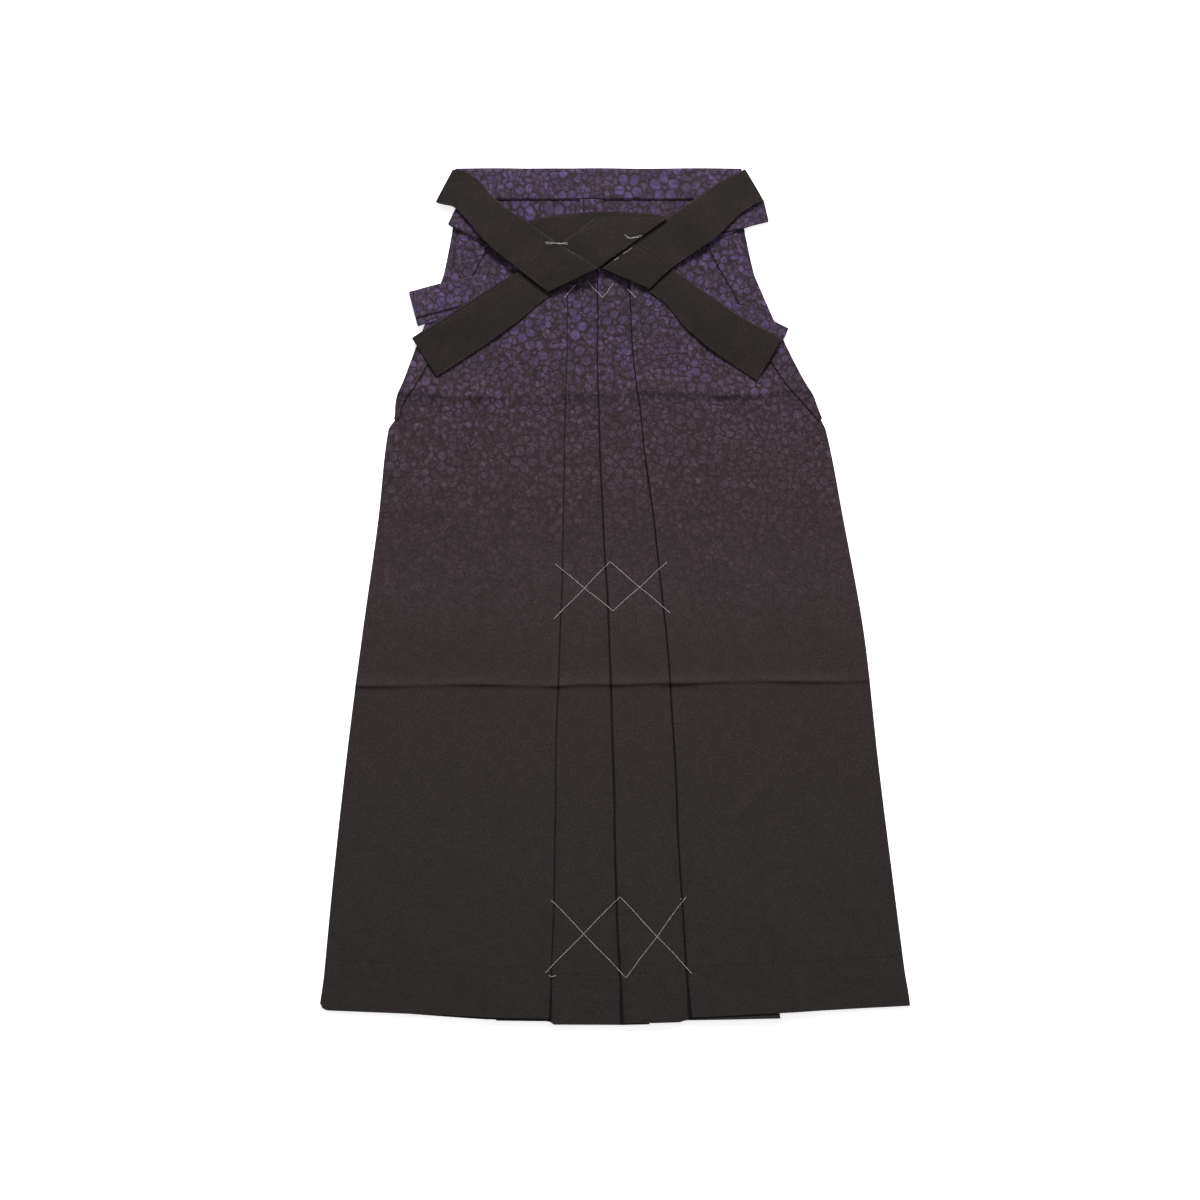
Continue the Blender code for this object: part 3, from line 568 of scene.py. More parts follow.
def blossom_group():
    """Five-lobed blossoms scattered over the cloth, one to a cell at most."""
    tree, given, out = node_group(
        "Blossoms",
        [
            ("Vector", "vector", None),
            ("Pitch", "value", 0.03),
            ("Radius", "value", 0.014),
            ("Share", "value", 0.8),
            ("Stray", "value", 0.7),
        ],
        [("Face", "value"), ("Cover", "value")],
    )
    found = cells(tree, given["Vector"], given["Pitch"], given["Stray"])
    offset, luck = in_cell(tree, given["Vector"], found)
    place = parts(tree, offset)
    reach = calc(tree, "MULTIPLY", given["Radius"], chance(tree, luck[1], BLOSSOM_SIZE))
    far = calc(tree, "DIVIDE", vector_calc(tree, "LENGTH", offset)["Value"], reach)
    turn = calc(tree, "ARCTAN2", place[1], place[0])
    turn = calc(tree, "MULTIPLY_ADD", luck[2], 2 * pi, turn)
    wedge = calc(tree, "FRACT", calc(tree, "DIVIDE", turn, PETAL_ANGLE))
    wedge = calc(tree, "MULTIPLY", calc(tree, "SUBTRACT", wedge, 0.5), PETAL_ANGLE)
    ahead = calc(tree, "MULTIPLY_ADD", far, calc(tree, "COSINE", wedge), -PETAL_PLACE)
    aside = calc(tree, "MULTIPLY", far, calc(tree, "SINE", wedge))
    square = calc(tree, "MULTIPLY", calc(tree, "MULTIPLY", ahead, ahead), PETAL_LONG)
    square = calc(tree, "MULTIPLY_ADD", aside, aside, square)
    lobe = calc(tree, "SUBTRACT", calc(tree, "SQRT", square), PETAL_HALF)
    petals = remap(tree, lobe, *PETAL_RIM)
    vein = remap(tree, calc(tree, "ABSOLUTE", aside), *PETAL_VEIN)
    face = calc(tree, "MAXIMUM", calc(tree, "MULTIPLY", petals, vein), remap(tree, far, *HEART))
    face = calc(tree, "MULTIPLY", face, chance(tree, luck[2], BLOSSOM_STRENGTH))
    cover = remap(tree, lobe, *CLEARING)
    cover = calc(tree, "MAXIMUM", cover, remap(tree, far, *CLEAR_HEART))
    present = calc(tree, "LESS_THAN", luck[0], given["Share"])
    tree.links.new(calc(tree, "MULTIPLY", face, present), out.inputs["Face"])
    tree.links.new(calc(tree, "MULTIPLY", cover, present), out.inputs["Cover"])
    return tree


def leaf_group():
    """Small oval leaves and buds packed close over the cloth."""
    tree, given, out = node_group(
        "Leaves",
        [("Vector", "vector", None), ("Pitch", "value", 0.007), ("Slim", "value", 1.6)],
        [("Leaf", "value"), ("Pick", "value")],
    )
    found, borders = (
        cells(tree, given["Vector"], given["Pitch"], OVAL_STRAY, feature)
        for feature in ("F1", "DISTANCE_TO_EDGE")
    )
    offset, luck = in_cell(tree, given["Vector"], found)
    turned = put(
        tree, "ShaderNodeVectorRotate",
        {"Vector": offset, "Angle": calc(tree, "MULTIPLY", luck[2], pi)}, rotation_type="Z_AXIS",
    ).outputs[0]
    place = parts(tree, turned)
    slim = calc(tree, "MULTIPLY", place[1], given["Slim"])
    square = calc(tree, "MULTIPLY_ADD", place[0], place[0], calc(tree, "MULTIPLY", slim, slim))
    far = calc(tree, "DIVIDE", calc(tree, "SQRT", square), given["Pitch"])
    oval = remap(tree, far, *OVAL_RIM)
    inside = remap(tree, borders["Distance"], *OVAL_GAP)
    tree.links.new(calc(tree, "MULTIPLY", oval, inside), out.inputs["Leaf"])
    tree.links.new(luck[0], out.inputs["Pick"])
    return tree


def floral_group():
    """The whole print: how light the motif is at each point, and how violet."""
    tree, given, out = node_group(
        "Floral print", [("Vector", "vector", None)], [("Motif", "value"), ("Violet", "value")]
    )
    vector = given["Vector"]
    for scale, sway in SWAYS:
        warp = noise(tree, given["Vector"], scale, 1.0)["Color"]
        shift = vector_calc(tree, "SUBTRACT", warp, (0.5, 0.5, 0.5))[0]
        vector = vector_calc(tree, "MULTIPLY_ADD", shift, (sway, sway, 0.0), vector)[0]
    ovals = []
    for sizes, strength in ((LEAF_PRINT, LEAF_STRENGTH), (BUD_PRINT, BUD_STRENGTH)):
        oval = use(tree, LEAVES, {"Vector": vector, **sizes})
        ovals.append(calc(tree, "MULTIPLY", oval["Leaf"], chance(tree, oval["Pick"], strength)))
    motif = calc(tree, "MAXIMUM", *ovals)
    violet = calc(tree, "MULTIPLY", motif, LEAF_VIOLET)
    for sizes in BLOSSOM_PRINTS:
        flower = use(tree, BLOSSOMS, {"Vector": vector, **sizes})
        clear = calc(tree, "SUBTRACT", 1.0, flower["Cover"])
        motif = calc(tree, "MULTIPLY_ADD", motif, clear, flower["Face"])
        violet = calc(tree, "MULTIPLY_ADD", violet, clear, flower["Face"])
    uneven = clouded(tree, given["Vector"], PRINT_CLOUDS)
    tree.links.new(calc(tree, "MULTIPLY", motif, uneven), out.inputs["Motif"])
    tree.links.new(violet, out.inputs["Violet"])
    return tree


def weave_group():
    """Plain weave with uneven threads: a height, and a tone that varies with the uneven threads and
    in clouds.
    """
    tree, given, out = node_group(
        "Weave",
        [("Vector", "vector", None), ("Thread", "value", 0.0005), ("Slub", "value", 0.5)],
        [("Height", "value"), ("Shade", "value")],
    )
    place = parts(tree, given["Vector"])
    turns = calc(tree, "DIVIDE", pi, given["Thread"])
    across, down = (
        calc(tree, "SINE", calc(tree, "MULTIPLY", place[way], turns)) for way in (0, 1)
    )
    knit = calc(tree, "MULTIPLY_ADD", calc(tree, "MULTIPLY", across, down), 0.5, 0.5)
    threads = []
    for stretch in SLUB_STRETCHES:
        long = vector_calc(tree, "MULTIPLY", given["Vector"], stretch)[0]
        threads.append(noise(tree, long, 1.0, 1.0)["Fac"])
    slubs = calc(tree, "ADD", *threads)
    height = calc(tree, "MULTIPLY_ADD", slubs, given["Slub"], knit)
    shade = remap(tree, slubs, *SLUB_SHADE)
    tree.links.new(height, out.inputs["Height"])
    tree.links.new(clouded(tree, given["Vector"], WEAVE_CLOUDS, shade), out.inputs["Shade"])
    return tree


def painted_shade_group():
    """Painted shade: darker lines beside the pressed folds, and along the stitches of the turned
    hem.
    """
    sizes = [(label, "value", size) for label, size in FOLD_SHADE_LINES.items()]
    tree, given, out = node_group(
        "Painted shade lines",
        [("Marks", "vector", None), ("Y", "value", 0.0), *sizes],
        [("Shade", "value")],
    )
    marks = parts(tree, given["Marks"])
    open_hem = remap(tree, given["Y"], *OPEN_HEM)
    harder = remap(tree, given["Y"], *FINE_WAIST)
    width = calc(tree, "MULTIPLY", given["Width"], calc(tree, "MULTIPLY", open_hem, harder))
    near = calc(tree, "DIVIDE", calc(tree, "ABSOLUTE", marks[0]), width)
    # painted shadow beside a fold
    fold = remap(tree, near, *LINE_FADE, given["Dark"], 1.0)
    turned = calc(tree, "ABSOLUTE", calc(tree, "SUBTRACT", marks[1], given["Turned"]))
    # painted shade along the turned hem
    hem = remap(tree, turned, *HEM_LINE)
    tree.links.new(calc(tree, "MULTIPLY", fold, hem), out.inputs["Shade"])
    return tree


def new_material(name, look):
    """A material with these constant inputs, as (material, tree, Principled)."""
    made = bpy.data.materials.new(name)
    made.use_nodes = True
    shader = made.node_tree.nodes["Principled BSDF"]
    for label, value in look.items():
        shader.inputs[label].default_value = value
    return made, made.node_tree, shader


def cloth_material(name):
    """A cloth with its weave in place: (material, tree, Principled, uv, marks, weave)."""
    made, tree, shader = new_material(name, CLOTH_LOOK)
    uv, marks = (put(tree, "ShaderNodeUVMap", uv_map=key).outputs[0] for key in ("cloth", "marks"))
    weave = use(tree, WEAVE, {"Vector": uv})
    bump = put(tree, "ShaderNodeBump", {"Height": weave["Height"], **WEAVE_BUMP})
    tree.links.new(bump.outputs[0], shader.inputs["Normal"])
    return made, tree, shader, uv, marks, weave


def shaded(tree, colour, weave, lines):
    """A colour made uneven by its threads, and darkened along its cloth's lines of painted shade.
    """
    colour = blend(tree, 1.0, colour, weave["Shade"], "MULTIPLY")
    return blend(tree, 1.0, colour, use(tree, PAINTED_SHADE, lines)["Shade"], "MULTIPLY")


def ramp(tree, value, span, stops):
    """Colours along a value between the ends of a span, as (share, colour) stops."""
    low, high = span
    share = put(tree, "ShaderNodeMapRange", {"Value": value, "From Min": low, "From Max": high})
    made = put(tree, "ShaderNodeValToRGB", {0: share.outputs["Result"]})
    line = made.color_ramp
    line.interpolation = "EASE"
    while len(line.elements) < len(stops):
        line.elements.new(0.5)
    for element, (place, colour) in zip(line.elements, stops):
        element.position = place
        element.color = colour
    return made.outputs[0]


def flowered_cloth():
    """The full violet print, as on the band and the back ties."""
    made, tree, shader, uv, marks, weave = cloth_material("flowered_cloth")
    floral = use(tree, FLORAL, {"Vector": uv})
    motif = blend(tree, floral["Violet"], MAUVE, VIOLET)
    colour = blend(tree, floral["Motif"], GROUND, motif)
    colour = shaded(tree, colour, weave, {"Marks": marks, **FLOWERED_SHADE_LINES})
    tree.links.new(colour, shader.inputs["Base Color"])
    return made


def shaded_cloth():
    """The body's print, which fades from the waist into plain dark brown at the hem."""
    made, tree, shader, uv, marks, weave = cloth_material("shaded_cloth")
    floral = use(tree, FLORAL, {"Vector": uv})
    y = parts(tree, put(tree, "ShaderNodeTexCoord").outputs["Object"])[1]
    ground = ramp(tree, y, BODY_SPAN, BODY_GROUND)
    fade = ramp(tree, y, FADE_SPAN, [(share, (v, v, v, 1.0)) for share, v in BODY_FADE])
    violet = calc(tree, "MULTIPLY", floral["Violet"], remap(tree, y, *VIOLET_FADE))
    motif = blend(tree, violet, MAUVE, VIOLET)
    colour = blend(tree, calc(tree, "MULTIPLY", floral["Motif"], fade), ground, motif)
    colour = shaded(tree, colour, weave, {"Marks": marks, "Y": y, **FOLD_SHADE_LINES})
    tree.links.new(colour, shader.inputs["Base Color"])
    return made


def plain_cloth():
    """The dark brown of the front waistband and the front ties, its edges a little worn and painted
    lighter as a highlight.
    """
    made, tree, shader, uv, marks, weave = cloth_material("plain_cloth")
    colour = blend(tree, clouded(tree, uv, PLAIN_PATCHES), PLAIN_DARK, PLAIN_PALE)
    colour = shaded(tree, colour, weave, {"Marks": marks, **PLAIN_SHADE_LINES})
    # the edges are worn and painted lighter, a painted highlight
    from_edge = remap(tree, parts(tree, marks)[1], *WORN_HIGHLIGHT_EDGE)
    worn = clouded(tree, uv, WORN_HIGHLIGHT_PATCHES, from_edge)
    colour = blend(tree, calc(tree, "MULTIPLY", worn, WORN_HIGHLIGHT), colour, PLAIN_WORN_HIGHLIGHT)
    tree.links.new(colour, shader.inputs["Base Color"])
    return made


def basting_cotton():
    """Soft white cotton, two plies twisted."""
    made, tree, shader = new_material("basting_cotton", {"Roughness": COTTON_ROUGH})
    here = put(tree, "ShaderNodeTexCoord").outputs["Object"]
    twist = put(
        tree, "ShaderNodeTexWave", {"Vector": here, "Scale": COTTON_TWIST, "Distortion": 1.0},
        bands_direction="DIAGONAL",
    ).outputs["Fac"]
    tree.links.new(blend(tree, twist, COTTON_DARK, COTTON_PALE), shader.inputs["Base Color"])
    bump = put(tree, "ShaderNodeBump", {"Height": twist, "Distance": 0.0002})
    tree.links.new(bump.outputs[0], shader.inputs["Normal"])
    return made


def sewing_thread():
    """Dark thread, a little lighter than the cloth it holds."""
    made, tree, shader = new_material("sewing_thread", {"Roughness": SEWING_ROUGH})
    here = put(tree, "ShaderNodeTexCoord").outputs["Object"]
    twist = noise(tree, here, SEWING_TWIST)["Fac"]
    tree.links.new(blend(tree, twist, SEWING_DARK, SEWING_PALE), shader.inputs["Base Color"])
    return made


# --- Lines and levels ------------------------------------------------------------------


def eased(xs, ys):
    """A smooth line through points, which never overshoots them."""
    xs, ys = np.array(xs, float), np.array(ys, float)
    steps = np.diff(xs)
    slopes = np.diff(ys) / steps
    first, second = slopes[:-1], slopes[1:]
    mean = 2 / (1 / (first + 1e-12) + 1 / (second + 1e-12))
    inner = np.where(first * second > 0, mean, 0)
    tangents = np.array([slopes[0], *inner, slopes[-1]])

    def line(x):
        at = np.clip(np.searchsorted(xs, x) - 1, 0, len(steps) - 1)
        t = np.clip((x - xs[at]) / steps[at], 0, 1)
        return (
            ys[at] * (1 + 2 * t) * (1 - t) ** 2
            + ys[at + 1] * t**2 * (3 - 2 * t)
            + steps[at] * t * (1 - t) * (tangents[at] * (1 - t) - tangents[at + 1] * t)
        )

    return line


LINES = {
    name: eased([row.y for row in ROWS[::-1]], [getattr(row, name) for row in ROWS[::-1]])
    for name in Row._fields[1:]
}


def along(name, y):
    """x of a side edge or a fold at height y, with a fold's slight unevenness."""
    height, turns, phase = WANDER.get(name, (0.0, 0.0, 0.0))
    swelling = np.cos(turns * WANDER_SLOW * y)
    return LINES[name](y) + height * np.sin(turns * y + phase) * swelling


def taper(ends, y):
    """A size that changes evenly from the waist's to the hem's."""
    return np.interp(y, (HEM, WAIST), (ends[1], ends[0]))


def left_inner(y):
    """x of the fold inside the left pleat."""
    return along("left_fold", y) - taper(LEFT_DEPTH, y)


def centre_inner(y):
    """x of the fold inside the centre pleat."""
    return along("centre_fold", y) + taper(CENTRE_DEPTH, y)


def right_inner(y):
    """x of the fold inside the right pleat."""
    return along("right_fold", y) + taper(RIGHT_DEPTH, y)


def smooth(part):
    """A share eased at both ends, and held between 0 and 1."""
    part = np.clip(part, 0.0, 1.0)
    return part * part * (3 - 2 * part)


def level(count):
    """Middle height of the cloth that lies on this many layers."""
    return CLOTH / 2 + count * LAYER


def rise(x, y):
    """How far the lowest front layer stands above the side seams."""
    left_side, right_side = along("left_side", y), along("right_side", y)
    left = (x - left_side) / (left_inner(y) - RISE_CLEAR - left_side)
    right = (right_side - x) / (right_side - right_inner(y) - RISE_CLEAR)
    return 2 * LAYER * np.minimum(smooth(left), smooth(right))


def front_top(x):
    """Top edge of the front panels, bowed up over the middle."""
    return WAIST + BOW_HEIGHT * np.maximum(0.0, 1 - ((x - BOW_CENTRE) / BOW_HALF) ** 2)


def edge_drop(inside, y):
    """How far the front rolls down to the back at its side edge, below the opening."""
    part = 1 - np.clip(inside, 0.0, EDGE_ROUND) / EDGE_ROUND
    closed = smooth((AIBIKI + CLOSING - y) / CLOSING)
    return closed * LAYER * (1 - np.sqrt(np.maximum(0.0, 1 - part * part)))


def ridges(creases, x, y):
    """Height of the soft creases at points of the cloth."""
    total = np.zeros(np.broadcast(x, y).shape)
    for crease in creases:
        go = np.array((crease.x1 - crease.x0, crease.y1 - crease.y0))
        length = np.hypot(*go)
        go = go / length
        forth = (x - crease.x0) * go[0] + (y - crease.y0) * go[1]
        aside = (y - crease.y0) * go[0] - (x - crease.x0) * go[1]
        sway = CREASE_SWAY * np.sin(forth * CREASE_TURNS + crease.x0 * 90)
        off = aside - crease.half * sway
        ends = smooth(forth / CREASE_END + 0.5) * smooth((length - forth) / CREASE_END + 0.5)
        half = crease.half * np.where(off > 0, CREASE_ABOVE, CREASE_BELOW)
        crest = 1 / (1 + (off / half) ** 2)
        swelling = np.sin(forth * SWELL_TURNS + crease.y0 * 60)
        uneven = 1 - CREASE_SWELL + CREASE_SWELL * swelling
        total += crease.height * crest * ends * uneven
    return total


def swell(x, y):
    """The cloth's slow unevenness, never below nothing."""
    total = np.zeros(np.broadcast(x, y).shape)
    for wave in WAVES:
        turns = wave.across * x + wave.down * y
        total += wave.height * (1 + np.sin(2 * pi * turns + wave.phase))
    return total


# --- Panels ----------------------------------------------------------------------------


class Course:
    """The course of a cloth across the garment: columns of x and height down its rows."""

    def __init__(self, y):
        self.y = y
        self.columns = []
        self.anchor = 0

    def add(self, x, height):
        """One more column, unless it is where the last one is."""
        if self.columns:
            last_x, last_height = self.columns[-1]
            if np.max(np.abs(x - last_x) + np.abs(height - last_height)) < SAME_PLACE:
                return
        self.columns.append((x, height + 0 * x))

    def run(self, start, stop, height, spacing=WEFT):
        """Columns from start to stop, at height(x)."""
        count = max(1, round(float(np.max(np.abs(stop - start))) / spacing))
        for share in np.arange(count + 1) / count:
            x = start + (stop - start) * share
            self.add(x, height(x))

    def turn(self, edge, facing, first, last, shown=False):
        """A pressed fold whose outer face reaches edge, from one layer to another. The
        print is laid out from a fold that is shown."""
        radius = np.abs(last - first) / 2
        middle = edge - facing * (CLOTH / 2 + radius)
        up = np.where(last > first, 1, -1)
        for step in range(TURN_STEPS + 1):
            angle = -pi / 2 + pi * step / TURN_STEPS
            x = middle + facing * radius * cos(angle)
            self.add(x, (first + last) / 2 + up * radius * sin(angle))
            if shown and step == TURN_STEPS // 2:
                self.anchor = len(self.columns) - 1

    def grid(self):
        """Columns as arrays of x, y and height, a row of the cloth in each row."""
        xs, zs = (np.array([column[i] for column in self.columns]).T for i in (0, 1))
        return xs, np.repeat(self.y[:, None], xs.shape[1], axis=1), zs


def over(layers, y):
    """Height at x of front cloth that lies on this many layers, as a function."""
    return lambda x: level(layers) + rise(x, y)


def fold_start(edge, facing):
    """x where a fold's round starts, when its outer face reaches edge."""
    return edge - facing * (CLOTH / 2 + LAYER / 2)


def main_height(x, y, side, facing, inner):
    """Height of a main panel, which comes down off its pleat towards its side edge."""
    lift = smooth((SLOPE - facing * (inner - x)) / (SLOPE - FOLD_CLEAR))
    return level(1 + 2 * lift) + rise(x, y) - edge_drop(facing * (x - side), y)


def main_start(y, side_name, facing):
    """x of a main panel's side edge."""
    inset = CLOTH / 2 + (MAIN_INSET - CLOTH / 2) * smooth((y - AIBIKI) / INSET_EASE)
    return along(side_name, y) + facing * inset


def front_left(y):
    course = Course(y)
    inner, fold = left_inner(y), along("left_fold", y)
    side = along("left_side", y) + CLOTH / 2
    start = main_start(y, "left_side", 1)

    def height(x):
        return main_height(x, y, side, 1, inner)

    course.run(start, start + EDGE_ROUND, height, EDGE_ROUND / 4)
    course.run(start + EDGE_ROUND, fold_start(fold, 1), height)
    course.turn(fold, 1, over(3, y)(fold), over(2, y)(fold), shown=True)
    course.run(fold_start(fold, 1), fold_start(inner, -1), over(2, y))
    course.turn(inner, -1, over(2, y)(inner), over(1, y)(inner))
    course.run(fold_start(inner, -1), inner + SEAM_LIP, over(1, y))
    return course


def front_centre_left(y):
    course = Course(y)
    start = left_inner(y) + SEAM_LIP + GAP
    fold, end = along("left_fold", y), centre_inner(y) - SEAM_LIP - GAP
    course.run(start, fold, over(1, y))
    course.anchor = len(course.columns) - 1
    course.run(fold, along("centre_fold", y), over(1, y))
    course.run(along("centre_fold", y), end, over(1, y))
    return course


def front_centre_right(y):
    course = Course(y)
    inner, fold = centre_inner(y), along("centre_fold", y)
    under, end = along("right_fold", y), right_inner(y) - SEAM_LIP - GAP
    start, stop = inner + SLOPE_START, under - FOLD_CLEAR

    def height(x):
        return over(3 - 2 * smooth((x - start) / (stop - start)), y)(x)

    course.run(inner - SEAM_LIP, fold_start(inner, 1), over(1, y))
    course.turn(inner, 1, over(1, y)(inner), over(2, y)(inner))
    course.run(fold_start(inner, 1), fold_start(fold, -1), over(2, y))
    course.turn(fold, -1, over(2, y)(fold), over(3, y)(fold), shown=True)
    course.run(fold_start(fold, -1), under, height)
    course.run(under, end, height)
    return course


def front_right(y):
    course = Course(y)
    inner, fold = right_inner(y), along("right_fold", y)
    side = along("right_side", y) - CLOTH / 2
    start = main_start(y, "right_side", -1)

    def height(x):
        return main_height(x, y, side, -1, inner)

    course.run(inner - SEAM_LIP, fold_start(inner, 1), over(1, y))
    course.turn(inner, 1, over(1, y)(inner), over(2, y)(inner))
    course.run(fold_start(inner, 1), fold_start(fold, -1), over(2, y))
    course.turn(fold, -1, over(2, y)(fold), over(3, y)(fold), shown=True)
    course.run(fold_start(fold, -1), start - EDGE_ROUND, height)
    course.run(start - EDGE_ROUND, start, height, EDGE_ROUND / 4)
    return course


def back_edge(side_name, facing, y):
    """x of the back's side edge, which draws in where the side is closed."""
    closed = smooth((AIBIKI + CLOSING - y) / CLOSING)
    return along(side_name, y) + facing * (OPEN_INSET + (BACK_INSET - OPEN_INSET) * closed)


def back_left(y):
    course = Course(y)
    fold = taper(BACK_FOLD, y)
    inner = fold - taper(BACK_DEPTH, y)
    flat = [level(count) + 0 * y for count in range(3)]
    course.run(back_edge("left_side", 1, y), fold_start(fold, 1), lambda x: flat[0])
    course.turn(fold, 1, flat[0], flat[1], shown=True)
    course.run(fold_start(fold, 1), fold_start(inner, -1), lambda x: flat[1])
    course.turn(inner, -1, flat[1], flat[2])
    course.run(fold_start(inner, -1), inner + SEAM_LIP, lambda x: flat[2])
    return course


def back_right(y):
    course = Course(y)
    fold = taper(BACK_FOLD, y)
    start = fold - taper(BACK_DEPTH, y) + SEAM_LIP + GAP
    down = fold + BACK_CLEAR

    def height(x):
        return level(2 - 2 * smooth((x - down) / BACK_STEP))

    course.run(start, down, lambda x: level(2))
    course.run(down, down + BACK_STEP, height, BACK_WEFT)
    course.run(down + BACK_STEP, back_edge("right_side", -1, y), height)
    return course


def side_fold(side_name, facing):
    """The tapered fold that lies on the front beside the opening, rolled at its edge."""
    column = "left" if facing > 0 else "right"
    upward = LEAF_WIDTHS[::-1]
    widths = eased([leaf.y for leaf in upward], [getattr(leaf, column) for leaf in upward])
    inner = left_inner if facing > 0 else right_inner

    def section(y):
        course = Course(y)
        side = along(side_name, y)
        edge = side + facing * CLOTH / 2

        def height(x):
            return main_height(x, y, edge - facing * EDGE_ROUND, facing, inner(y)) + LEAF_LIFT

        middle = side + facing * (CLOTH / 2 + LEAF_LIFT / 2)
        course.run(side + facing * widths(y), middle, height, LEAF_WEFT)
        course.turn(side, -facing, height(middle), height(middle) - LEAF_LIFT)
        return course

    return section


def hem_line(corners):
    """y of a hem at x, as a function."""
    xs, ys = zip(*corners)
    return lambda x: np.interp(x, xs, ys)


def new_object(name, data):
    """A new object in the scene."""
    made = bpy.data.objects.new(name, data)
    bpy.context.scene.collection.objects.link(made)
    return made


def grid_faces(rows, columns):
    """Quads over a grid of points, an array of four corners to each."""
    number = np.arange(rows * columns).reshape(rows, columns)
    corners = (number[:-1, :-1], number[1:, :-1], number[1:, 1:], number[:-1, 1:])
    return np.stack(corners, axis=-1).reshape(-1, 4)


def cloth_mesh(name, points, faces, maps, material):
    """A mesh with a UV map for each name in maps, given as a place for each point."""
    mesh = bpy.data.meshes.new(name)
    mesh.from_pydata(points.tolist(), [], faces.tolist())
    for map_name, places in maps.items():
        mesh.uv_layers.new(name=map_name).data.foreach_set("uv", places[faces.ravel()].ravel())
    mesh.materials.append(material)
    return mesh


def sheet_object(name, xs, ys, zs, uvs, marks, material):
    """A cloth of even wall through a grid of points in the middle of it. marks are each
    point's distances from its panel's fold and from its hem."""
    points = np.stack([xs, ys, zs], axis=-1).reshape(-1, 3)
    maps = {
        map_name: np.stack(places, axis=-1).reshape(-1, 2)
        for map_name, places in (("cloth", uvs), ("marks", marks))
    }
    mesh = cloth_mesh(name, points, grid_faces(*xs.shape), maps, material)
    base = new_object(name + "_base", mesh)
    thick = base.modifiers.new("Wall", "SOLIDIFY")
    thick.thickness = WALL
    thick.offset = 0
    thick.use_even_offset = True
    return applied(base, name)


def applied(base, name):
    """What an object's modifiers make of it, as a plain smooth object, in its place."""
    bpy.context.view_layer.update()
    graph = bpy.context.evaluated_depsgraph_get()
    mesh = bpy.data.meshes.new_from_object(base.evaluated_get(graph))
    mesh.name = name
    made = new_object(name, mesh)
    bpy.data.objects.remove(base)
    mesh.shade_smooth()
    mesh.set_sharp_from_angle(angle=PANEL_SHARP)
    return made


def finish_piece(piece, node, flat=None):
    """Hangs a piece under the root and hides its node's own solid; the cut size it is given is not
    used.
    """
    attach(piece, "root")
    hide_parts(node)
    flat = flat or FLATS[node]
    return piece


def fold_distance(node, run, xs, ys):
    """How far each point of a panel is from the nearest fold that shows."""
    if node not in FOLDS_OVER:
        return np.abs(run)
    distances = [np.abs(xs - along(name, ys)) * FOLD_CRISP[name] for name in FOLDS_OVER[node]]
    return np.minimum.reduce(distances)


def sprung(hem_over, xs, ys):
    """How far a hem springs up where it leaves the hem over it."""
    over, start, stop = hem_over
    shows = smooth((xs - start) / SPRING_REACH) * smooth((stop - xs) / SPRING_REACH)
    return HEM_SPRING * shows * smooth((hem_line(over)(xs) - ys) / SPRING_REACH)


def panel_rows():
    """Heights of a panel's rows from waist to hem, closer together where it creases."""
    rows = list(np.arange(HEM, WAIST, WARP))
    for high, low in FINE_ROWS:
        rows = [y for y in rows if not low < y < high] + list(np.arange(low, high, FINE_WARP))
    return np.unique(np.round([*rows, WAIST], 5))[::-1]


def body_panel(node, section, top, hem, creases, shift, material):
    """One of the six body panels, bent at its ends to its top line and its hem."""
    y = panel_rows()
    course = section(y)
    xs, ys, zs = course.grid()
    steps = np.hypot(np.diff(xs, axis=1), np.diff(zs, axis=1))
    run = np.concatenate([np.zeros((len(y), 1)), np.cumsum(steps, axis=1)], axis=1)
    run -= run[:, course.anchor][:, None]
    uvs = (run + shift[0], ys + shift[1])
    hem_y = hem(xs)
    bent = ys + (hem_y - HEM) * smooth((HEM + EDGE_REACH - ys) / EDGE_REACH)
    bent += (top(xs) - WAIST) * smooth((ys - WAIST + EDGE_REACH) / EDGE_REACH)
    turned = HEM_STEP * smooth((hem_y + HEM_TURN - bent) / HEM_EASE)
    relief = ridges(creases, xs, bent)
    if creases is CREASES:
        relief += swell(xs, bent) + turned
    if node in SPRUNG_HEMS:
        relief += sprung(SPRUNG_HEMS[node], xs, bent)
    # marks: distances from the shown folds and from the hem, along which lines of painted shade are
    # drawn
    marks = (fold_distance(node, run, xs, ys), bent - hem_y)
    return sheet_object(f"{node}_panel", xs, bent, zs + relief, uvs, marks, material)


# --- Folded stacks ---------------------------------------------------------------------


def search_tree(mesh):
    """A mesh's faces, to cast rays at."""
    return BVHTree.FromPolygons(
        [v.co for v in mesh.vertices], [tuple(p.vertices) for p in mesh.polygons]
    )


class Solid:
    """The frame's own solid of a node, to read heights from."""

    def __init__(self, node):
        self.tree = search_tree(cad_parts[node].data)

    def span(self, x, y):
        """Lowest and highest surface at a point, or None beside the solid."""
        down = self.tree.ray_cast(Vector((x, y, CLEAR_ABOVE)), DOWN)[0]
        up = self.tree.ray_cast(Vector((x, y, -CLEAR_ABOVE)), -DOWN)[0]
        return None if down is None or up is None else (up.z, down.z)


def bent_cuts(cuts, spacing):
    """Sections along a smooth line through the cuts, and the direction at each."""
    table = np.array(cuts)
    ends = np.vstack([2 * table[0] - table[1], table, 2 * table[-1] - table[-2]])
    fine = []
    for first in range(len(table) - 1):
        before, start, stop, after = ends[first : first + 4]
        steps = max(2, round(float(np.hypot(*(stop - start)[:2])) / spacing))
        for t in np.arange(steps) / steps:
            fine.append(0.5 * (
                2 * start
                + (stop - before) * t
                + (2 * before - 5 * start + 4 * stop - after) * t**2
                + (3 * start - before - 3 * stop + after) * t**3
            ))
    fine = np.array([*fine, table[-1]])
    headings = np.gradient(fine[:, :2], axis=0)
    return fine, headings / np.linalg.norm(headings, axis=1)[:, None]


